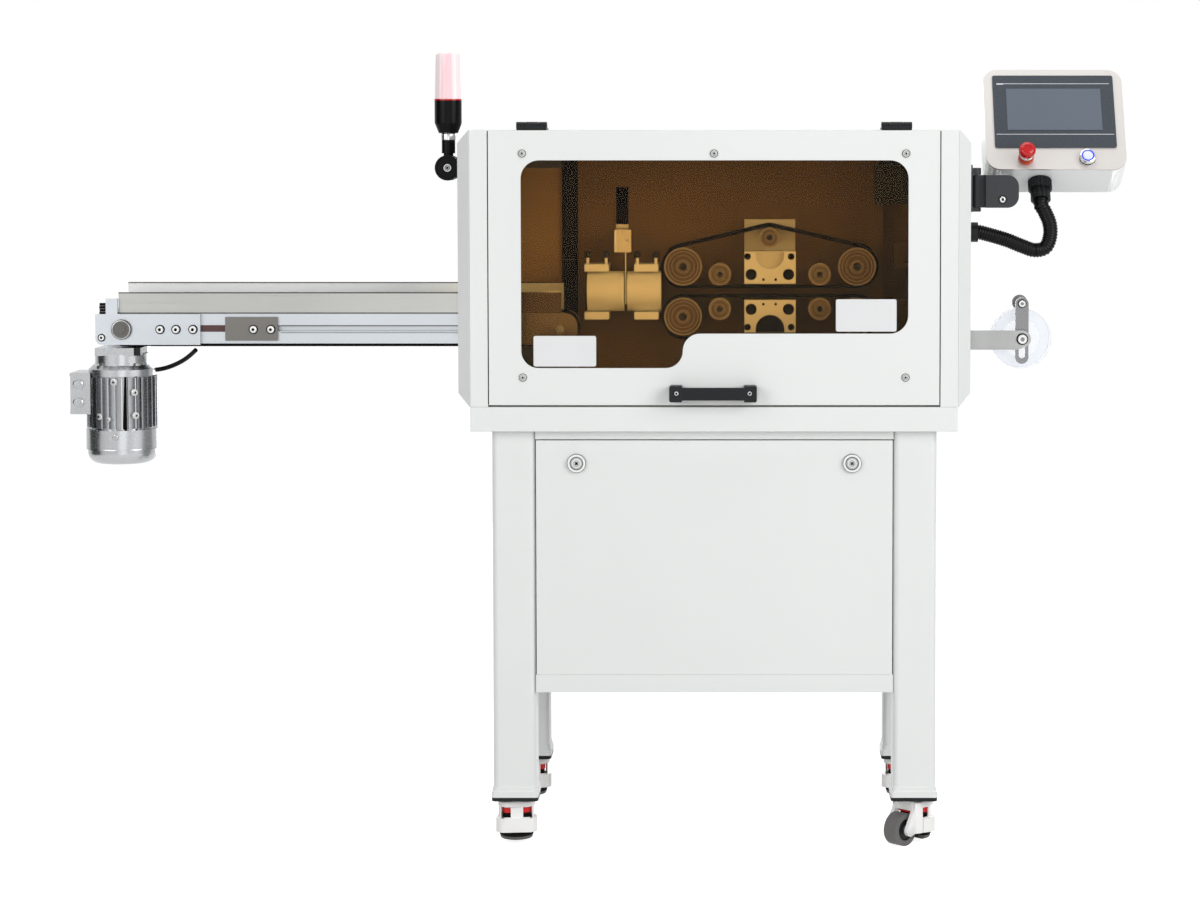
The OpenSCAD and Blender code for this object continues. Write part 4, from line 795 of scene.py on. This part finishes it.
def spline(points, steps):
    """Smooth route through points in mm."""
    route = []
    pts = [Vector(p) for p in points]
    for i in range(len(pts) - 1):
        a, b, c, d = pts[max(i - 1, 0)], pts[i], pts[i + 1], pts[min(i + 2, len(pts) - 1)]
        for k in range(steps):
            t = k / steps
            route.append(0.5 * (2 * b + (c - a) * t + (2 * a - 5 * b + 4 * c - d) * t * t
                                + (3 * b - a - 3 * c + d) * t ** 3))
    route.append(pts[-1])
    return route


def resample(route, pitch):
    """Even steps of about pitch along a route."""
    lengths = [0.0]
    for a, b in zip(route, route[1:]):
        lengths.append(lengths[-1] + (b - a).length)
    count = max(2, round(lengths[-1] / pitch))
    out = []
    j = 0
    for k in range(count + 1):
        want = lengths[-1] * k / count
        while j < len(route) - 2 and lengths[j + 1] < want:
            j += 1
        span = lengths[j + 1] - lengths[j]
        out.append(route[j].lerp(route[j + 1], (want - lengths[j]) / span if span else 0))
    return out


def sweep(bm, route, radius, steps=20, first=0, last=None):
    """A tube round a route. radius(i) gives each ring's radius."""
    last = len(route) - 1 if last is None else last
    side = None
    rings = []
    for i, p in enumerate(route):
        ahead = (route[min(i + 1, len(route) - 1)] - route[max(i - 1, 0)]).normalized()
        side = ahead.orthogonal() if side is None else side - ahead * side.dot(ahead)
        side.normalize()
        other = ahead.cross(side)
        if first <= i <= last:
            rings.append([bm.verts.new(at(*(p + (side * math.cos(a) + other * math.sin(a)) * radius(i))))
                          for a in (2 * math.pi * k / steps for k in range(steps))])
    join_rings(bm, rings, 0, True)


CONDUIT = [(506, 136, 1187), (516, 136, 1187), (536, 136, 1182), (570, 137, 1172), (600, 138, 1160),
           (625, 138, 1152), (646, 137, 1157), (655, 135, 1178), (654, 132, 1203), (644, 129, 1227),
           (637, 130.97, 1239.0), (637, 135.97, 1247.66), (637, 140.97, 1256.32)]
CABLE = [(-1113, 189, 913), (-1105, 193, 913), (-1089, 192, 916), (-1069, 184, 923), (-1049, 174, 933),
         (-1033, 163, 944), (-1020, 153, 955)]


def make_cables():
    route = resample(spline(CONDUIT, 10), 1.25)
    rib = (15.0, 14.7, 13.7, 13.7)
    middle = min(range(len(route)), key=lambda i: route[i].z)
    parts = []
    for name, first, last in (("conduit_lower", 0, middle), ("conduit_upper", middle, len(route) - 1)):
        bm = bmesh.new()
        sweep(bm, route, lambda i: rib[i % 4], 20, first, last)
        parts.append(add_object(name, bm, ["conduit"]))
    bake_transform(parts[0])
    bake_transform(parts[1])
    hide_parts("hmi_conduit")
    bm = bmesh.new()
    sweep(bm, resample(spline(CABLE, 8), 3.0), lambda i: 4.5, 14)
    cable = add_piece("motor_lead", bm, ["black"])
    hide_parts("motor_cable")


# Pivot of the signal lamp, and the grooves of its lens
LAMP = (-516, 100, 1313)
FLUTES = 18


def fluted(radius):
    """A ring of shallow grooves for turn()."""
    return lambda a: radius - 0.45 * (0.5 + 0.5 * math.cos(FLUTES * a)) ** 2


def make_lamp_details():
    x, y, z = LAMP
    disc = [(0, -0.2), (24.3, -0.2), (24.6, 0.6), (24.6, 3.6), (23.8, 4.4), (20.6, 4.4), (20.0, 3.4),
            (9.4, 3.0), (9.0, 3.8), (0, 3.8)]
    bm = bmesh.new()
    for place, axis in (((x, 81, z), FRONT), ((x, 119, z), BACK)):
        turn(bm, place, axis, disc, 64)
    add_piece("lamp_joint_disc", bm, ["lamp_black"])
    bm = bmesh.new()
    washer(bm, (x, 77.2, z), FRONT, 7.4, 5.2, 1.2)
    socket_screw(bm, (x, 77.2, z), FRONT, 4.6, 1.6, 1, 2)
    add_piece("lamp_joint_screw", bm, ["label", "dark_steel", "hole"])
    bm = bmesh.new()
    collar = [(9.0, 0), (13.9, 0), (14.1, 1.0), (14.1, 11.4), (13.6, 12.4), (9, 12.4)]
    turn(bm, (x, y, z + 54.3), UP, collar, 48)
    add_piece("lamp_collar", bm, ["chrome"], "lamp")
    bm = bmesh.new()
    turn(bm, (x, y, z + 130.2), UP, [(25.0, 0), (27.1, 0), (27.1, 2.8), (25, 2.8)], 64)
    add_piece("lamp_ring", bm, ["red"], "lamp")
    bm = bmesh.new()
    profile = [(fluted(26.4), 0), (fluted(25.8), 6), (fluted(24.8), 50), (fluted(23.9), 82), (22.6, 86.5),
               (19.5, 88.8), (10, 89.4), (0, 89.5)]
    turn(bm, (x, y, z + 133), UP, profile, 8 * FLUTES)
    lens = add_piece("lamp_lens_fluted", bm, ["lens"], "lamp")
    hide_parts("lamp_lens")


# Height of the conveyor's drums and of the fed tube, and the middle of both from front to back
DRUM_Z = 999.0
FEED_Z = 1071.0
FEED_Y = 150.0


def make_conveyor_details():
    front = FEED_Y - 48 - 8.3
    bm = bmesh.new()
    for x in (-1078, -1047, -1014):
        washer(bm, (x, front - 0.3, DRUM_Z), FRONT, 9.2, 7.2, 0.8, 2)
        socket_screw(bm, (x, front - 4.0, DRUM_Z), FRONT, 6.6, 2.4, 0, 2)
    washer(bm, (-1192, front - 0.1, 983), FRONT, 7.6, 5.6, 0.8, 2)
    socket_screw(bm, (-1192, front, 983), FRONT, 5.4, 4.0, 0, 2)
    for x in (-897, -863):
        washer(bm, (x, 95.9, DRUM_Z), FRONT, 9.0, 7.4, 0.8, 2)
        button_screw(bm, (x, 93.2, DRUM_Z), FRONT, 7.0, 2.8, 0, 2)
    add_piece("conveyor_screws", bm, ["bright_metal_and_highlight", "cap", "hole"])
    bm = bmesh.new()
    place = (-1153, front - 5.2, DRUM_Z)
    turn(bm, place, FRONT, [(19.4, -4.6), (19.4, 0.6), (18.6, 0.8)], 56, 2)
    turn(bm, place, FRONT, [(18.6, 0.8), (18.0, 1.2), (16.4, 1.2), (16.0, 0.4)], 56, 1)
    turn(bm, place, FRONT, [(16.0, 0.4), (9.5, 0.4), (9.2, 1.4), (0, 1.6)], 56)
    add_piece("bearing_cap", bm, ["cap", "steel", "hole"])
    add_blocks("slot_insert", ["insert"], ((-1000, 101.5, 994), (-952, 105, 1007)))
    # Dark grey strips along the slot's lips: painted shade.
    add_blocks("slot_edge_shadows", ["cap"],
               ((-845, 101.5, 1004.8), (-430, 102.0, 1006.6)),
               ((-845, 101.5, 991.6), (-430, 102.0, 992.8)))
    # Thin dark strips along the trough's top edges and low on the beam, and a grey one on the back wall's
    # top: painted shadow lines.
    add_blocks("trough_edge_shadows", ["hole", "cap"],
               ((-1160, 102.2, 1069.0), (-299, 103.1, 1070.9)),
               ((-1160, 102.2, 1030.2), (-299, 103.1, 1031.4)),
               ((-1160, 194.0, 1084.6), (-299, 194.9, 1086.8), 1),
               ((-1006, 101.4, 968.8), (-430, 101.9, 971.2)))
    teeth = [((-1196 + 0.6 * (k % 2), 94.5, 1028 + 5.75 * k), (-1183.5, 101, 1033.2 + 5.75 * k), 1)
             for k in range(4)]
    add_blocks("belt_end_stop", ["aluminium", "belt"], ((-1183.5, 94, 1029), (-1160.6, 101.5, 1059)), *teeth)


# Middle of the conveyor's motor, and how far the camera looks round it
MOTOR_X = -1165
MOTOR_TURN = math.radians(12.2)


def make_motor_details():
    x, y = MOTOR_X, FEED_Y
    bm = bmesh.new()
    knockout = [(10, -1), (10, 0.6), (8.6, 1.6), (8.2, 0.8), (5.2, 0.8), (4.9, 1.8), (0, 2.0)]
    for z in (855, 891):
        turn(bm, (x - 77, y - 44, z), FRONT, knockout, 32)
    for z in (836, 909):
        for dy in (-34, 34):
            cross_screw(bm, (x - 93, y + dy, z), LEFT, 3.4, 2.2)
    add_piece("terminal_box_knockouts", bm, ["cast"])
    bm = bmesh.new()
    for dx, z, r in ((-17, 897, 6.5), (24, 876, 6.5), (26, 831, 6.5), (-45, 829, 6), (-28, 824, 4)):
        add_boss(bm, dx, z, r)
    add_piece("motor_bosses", bm, ["bright_metal_and_highlight", "screw", "hole"])
    bm = bmesh.new()
    out = Vector((-13.5 + 68.0 * MOTOR_TURN, -68.0, 0)).normalized()
    cross_screw(bm, (x + out.x * 69, y + out.y * 69, 801 - 11), tuple(out), 6.0, 3.0)
    for dx in (-40, 40):
        turn(bm, (x + dx, y - 42, 927.5), UP, [(0, 0), (hexagon(5.2), 0), (hexagon(5.2), 4.6), (0, 4.6)], 24)
    add_piece("flange_bolts", bm, ["screw"])
    bm = bmesh.new()
    turn(bm, (x, y, 765), UP, [(67.2, 0.4), (69.6, 0.0), (69.9, -1.2), (69.9, -2.8), (67.2, -3.2)], 96)
    add_piece("fan_cover_bead", bm, ["cast"])


def add_boss(bm, dx, z, r):
    """A round pad with a screw on the motor's fins, dx to the right of its axis as the camera sees it."""
    a = math.asin(dx / 70.0) + MOTOR_TURN
    out = (math.sin(a), -math.cos(a), 0)
    place = Vector((MOTOR_X, FEED_Y, z)) + Vector(out) * 57
    turn(bm, tuple(place), out, [(r + 0.5, 0), (r, 12), (r - 1, 13), (0, 13)], 20)
    socket_screw(bm, tuple(place + Vector(out) * 12.8), out, r * 0.66, 2.4, 1, 2)


# Feed wheels: places along the tube, and heights over and under it
DRIVE_X = (-62, 278)
DRIVE_DZ = 48.8
IDLER_X = (10, 205)
IDLER_DZ = 33.8
TENSION_X = 107
TENSION_DZ = 106
# Front of the feed wheels
WHEEL_Y = 128


def make_feed_details():
    grooves = ([(29.8, 0.4), (29.8, 1.0), (28.4, 1.0), (28.4, 0.4)],
               [(36.9, 4.0), (36.9, 5.2), (34.2, 5.2), (34.0, 4.0)],
               [(22.4, 0.4), (22.4, 1.0), (21.2, 1.0), (21.2, 0.4)])
    for i, (x, s) in enumerate(((x, s) for s in (1, -1) for x in DRIVE_X), 1):
        place = (x, WHEEL_Y + 4.2, FEED_Z + s * DRIVE_DZ)
        bm = bmesh.new()
        for section in grooves:
            turn(bm, place, FRONT, section, 64, 1)
        turn(bm, place, FRONT, [(14.2, 4.0), (13.8, 8.8), (9.2, 8.8)], 48, 2)
        add_piece(f"pulley_face_{i}", bm, ["turned", "rim", "idler_finish_and_shade"], f"pulley_{i}")
    screws, rims = bmesh.new(), bmesh.new()
    for s in (-1, 1):
        for x in DRIVE_X:
            socket_screw(screws, (x, 122.8, FEED_Z + s * DRIVE_DZ), FRONT, 7.6, 2.0)
        for x in IDLER_X:
            socket_screw(screws, (x, 122.8, FEED_Z + s * IDLER_DZ), FRONT, 5.6, 2.0)
            turn(rims, (x, WHEEL_Y + 0.2, FEED_Z + s * IDLER_DZ), FRONT,
                 [(21.9, 0), (21.9, 0.8), (19.6, 0.8), (19.4, 0)], 48)
        socket_screw(screws, (TENSION_X, 122.8, FEED_Z + s * TENSION_DZ), FRONT, 5.6, 2.0)
        turn(rims, (TENSION_X, WHEEL_Y + 0.2, FEED_Z + s * TENSION_DZ), FRONT,
             [(19.9, 0), (19.9, 0.8), (17.8, 0.8), (17.6, 0)], 48)
    add_piece("stud_screws", screws, ["black_gloss"])
    add_piece("idler_rims", rims, ["rim"])
    bm = bmesh.new()
    for s in (-1, 1):
        belt_back(bm, s)
    add_piece("belt_backs", bm, ["belt"])
    # A sheet left of the machine plate, before the cabinet's back wall, in a tan of painted light.
    add_blocks("painted_light_wall_left", ["painted_light_wall"], ((-462, 214, 990), (-303.4, 216, 1312)))
    add_blocks("inner_wall_right", ["back_plate"], ((333.5, 238, 960), (462, 240, 1340)))
    add_blocks("slot_shades", ["hole"],
               ((-303.2, 209, 985), (-271.6, 215, 1130.6)),
               ((-214, 242, 1150), (-130, 243, 1290)))
    # A dark sheet over the trough's end inside the cabinet, painted shade, with a bright strip along its top.
    add_blocks("trough_end_shade", ["turned", "bright_metal_and_highlight"],
               ((-440, 99.6, 1031), (-298, 100.8, 1070.4)),
               ((-330, 99.4, 1071), (-298, 100.8, 1073), 1))
    bm = bmesh.new()
    cross_screw(bm, (-170, 131, 1171), FRONT, 5.4, 6.4)
    block(bm, (-195.8, 124.4, 1149), (-191.5, 125.1, 1191))
    add_piece("blade_screw", bm, ["bright_metal_and_highlight"], "blade")
    bm = bmesh.new()
    for cx in (-254, -157):
        for dx in (6, 42):
            knob = [(0, 0), (6.6, 0), (6.6, 5.2), (5.2, 7.2), (2, 8.0), (0, 8.0)]
            turn(bm, (cx + dx, 126, 1143.5), UP, knob, 24)
    add_piece("clamp_knobs", bm, ["black_gloss"])


def belt_back(bm, s):
    """The ribbed back of a feed belt's outer run, over one drive pulley, the tension pulley and the other."""
    def tangent(c0, r0, c1, r1):
        """Angle of the outward normal of the line that touches both circles from outside."""
        dx, dz = c1[0] - c0[0], c1[1] - c0[1]
        return math.atan2(dz, dx) + math.acos((r0 - r1) / math.hypot(dx, dz))

    wheels = [((DRIVE_X[0], DRIVE_DZ), 42.3), ((TENSION_X, TENSION_DZ), 25.3), ((DRIVE_X[1], DRIVE_DZ), 42.3)]
    first = tangent(*wheels[0], *wheels[1])
    second = tangent(*wheels[1], *wheels[2])
    spans = [(first + 0.5, first), (first, second), (second, second - 0.45)]
    rings = []
    for (centre, r), (a0, a1) in zip(wheels, spans):
        for k in range(9):
            a = a0 + (a1 - a0) * k / 8
            x, up = math.cos(a), math.sin(a)
            section = ((r + 0.1, 135.4), (r + 2.6, 135.4), (r + 2.6, 164.6), (r + 0.1, 164.6))
            rings.append([bm.verts.new(at(centre[0] + far * x, y, FEED_Z + s * (centre[1] + far * up)))
                          for far, y in section])
    join_rings(bm, rings, 0, True)


# Axle of the guide wheel, and the small roller's height over it
GUIDE_X = 600.0
GUIDE_Z = 979.0
ROLLER_Z = GUIDE_Z + 68.8


def make_guide_details():
    bm = bmesh.new()
    eye = [(496, GUIDE_Z - 17), (496, GUIDE_Z + 17)]
    for k in range(17):
        a = math.radians(90 - 180 * k / 16)
        eye.append((GUIDE_X + 17 * math.cos(a), GUIDE_Z + 17 * math.sin(a)))
    outline(bm, eye, 112.7, 113.9)
    add_piece("guide_arm_face", bm, ["arm_steel"])
    bm = bmesh.new()
    flange = [(0, 0), (14.5, 0), (15, 0.6), (15, 2.0), (14.4, 2.6), (0, 2.6)]
    turn(bm, (GUIDE_X, 170.4, ROLLER_Z), BACK, flange, 48)
    add_piece("roller_flange", bm, ["dark_steel"], "roller_guide")
    bm = bmesh.new()
    washer(bm, (GUIDE_X, 112.5, GUIDE_Z), FRONT, 11.5, 6.2, 1.4, 1)
    socket_screw(bm, (GUIDE_X, 109.6, GUIDE_Z), FRONT, 9.0, 4.6, 0, 2)
    washer(bm, (GUIDE_X, 120.3, ROLLER_Z), FRONT, 8.6, 4.1, 1.2, 1)
    socket_screw(bm, (GUIDE_X, 119.4, ROLLER_Z), FRONT, 6.8, 4.0, 0, 2)
    add_piece("guide_screws", bm, ["bright_metal_and_highlight", "hole", "dark_steel"], "roller_bar")


def near(x, z, places, radius):
    return any(math.hypot(x - px, z - pz) < radius for px, pz in places)


def between_fins(x, y, z):
    return 805 < z < 906 and math.hypot(x - MOTOR_X, y - FEED_Y) < 60


def in_block_hole(x, y, z):
    """The walls and floors of the pressure blocks' holes, which are painted as shade."""
    up = abs(z - FEED_Z)
    if not 118.4 < y < 130.4:
        return False
    return (near(x, up, ((64, 69), (149, 69)), 6.7) or near(x, up, ((71, 34), (144, 34)), 11.2)
            or near(x, up, ((95, 24), (119, 24)), 2.9))


def paint_nodes():
    """Second finishes of nodes that hold pieces of different colours."""
    paint("side_cover_right", "black", lambda x, y, z: x > 492.1 and z > 1150)
    # Painted shade in the round hole where the tube enters the right cover.
    paint("side_cover_right", "hole",
          lambda x, y, z: 462 < x < 495.7 and math.hypot(y - FEED_Y, z - FEED_Z) < 25.3)
    paint("hmi_box", "black", lambda x, y, z: x > 605 and 0.5 * (y - HMI[1]) + 0.866 * (z - HMI[2]) < -0.15)
    paint("stand_frame", "black", lambda x, y, z: z < 95.85)
    paint("hmi_panel", "bezel", lambda x, y, z: panel_depth(y, z) < -0.2)
    paint("hmi_panel", "screen", lambda x, y, z: panel_depth(y, z) < -3.55)
    paint("lamp_stem", "chrome",
          lambda x, y, z: 1367.2 < z < 1379.8 and math.hypot(x - LAMP[0], y - LAMP[1]) > 13.2)
    # Painted shade: the faces between the motor's fins are darker.
    paint("gearmotor", "fin_gap_shade", between_fins)
    # Painted shade: three dark upright bands between the fins' fronts.
    for low, high in ((-39.5, -31), (14, 20), (32.5, 38.5)):
        paint("gearmotor", "hole", lambda x, y, z, low=low, high=high: between_fins(x, y, z)
              and y < FEED_Y and low < x - MOTOR_X < high)
    paint("gearmotor", "black", lambda x, y, z: x > -1130.8 and 946 < z < 963)
    paint("front_door", "black", lambda x, y, z: z > 1385.1 and y > 8)
    # Painted highlight: the trough's back wall takes the bright finish.
    paint("trough", "bright_metal_and_highlight", lambda x, y, z: y > 194)
    paint("guide_wheel", "disc_rim", lambda x, y, z: math.hypot(x - GUIDE_X, z - GUIDE_Z) > 58.3)
    # Painted shade: the conveyor frame's end inside the cabinet takes the darker idler finish.
    paint("conveyor_frame", "idler_finish_and_shade", lambda x, y, z: x > -420)
    paint("conveyor_frame", "grey_plate", lambda x, y, z: -952.5 < x < -849.5 and abs(y - FEED_Y) > 48.1)
    paint("feed_blocks", "brushed", lambda x, y, z: abs(z - FEED_Z) > 78.5 or 131 < y < 132.5)
    # Painted shade in the blocks' holes and on the lower block's recessed face.
    paint("feed_blocks", "hole", in_block_hole)
    paint("feed_blocks", "hole", lambda x, y, z: 131 < y < 132.5 and z < FEED_Z)
    paint("tube_guides", "black_gloss", lambda x, y, z: z > 1137.2)
    # Painted shade on the plate's left edge strip.
    paint("machine_plate", "hole", lambda x, y, z: x < -271.2 and y < 221)
    paint("machine_plate", "steel", lambda x, y, z: y < 207.6)
    paint("machine_plate", "black", lambda x, y, z: y > 221)
    for i, (cx, cy, heading) in enumerate(CASTERS, 1):
        a = math.radians(heading)
        sx, sy = cx + FOOT_TRAIL * math.cos(a), cy + FOOT_TRAIL * math.sin(a)
        paint(f"caster_housing_{i}", "red_matt",
              lambda x, y, z, sx=sx, sy=sy: 61.5 < z < 72.5 and math.hypot(x - sx, y - sy) < 20.6)


def panel_depth(y, z):
    """How far behind the front plate's face a point of the cabinet lies."""
    return (y - HMI[1]) * math.cos(HMI_LEAN) - (z - HMI[2]) * math.sin(HMI_LEAN)


bpy.context.scene.view_settings.view_transform = "Standard"
make_camera()
make_stage()
dress_nodes()
paint_nodes()
make_door_details()
make_stand_details()
make_panel_details()
make_cables()
make_lamp_details()
make_conveyor_details()
make_motor_details()
make_feed_details()
make_guide_details()
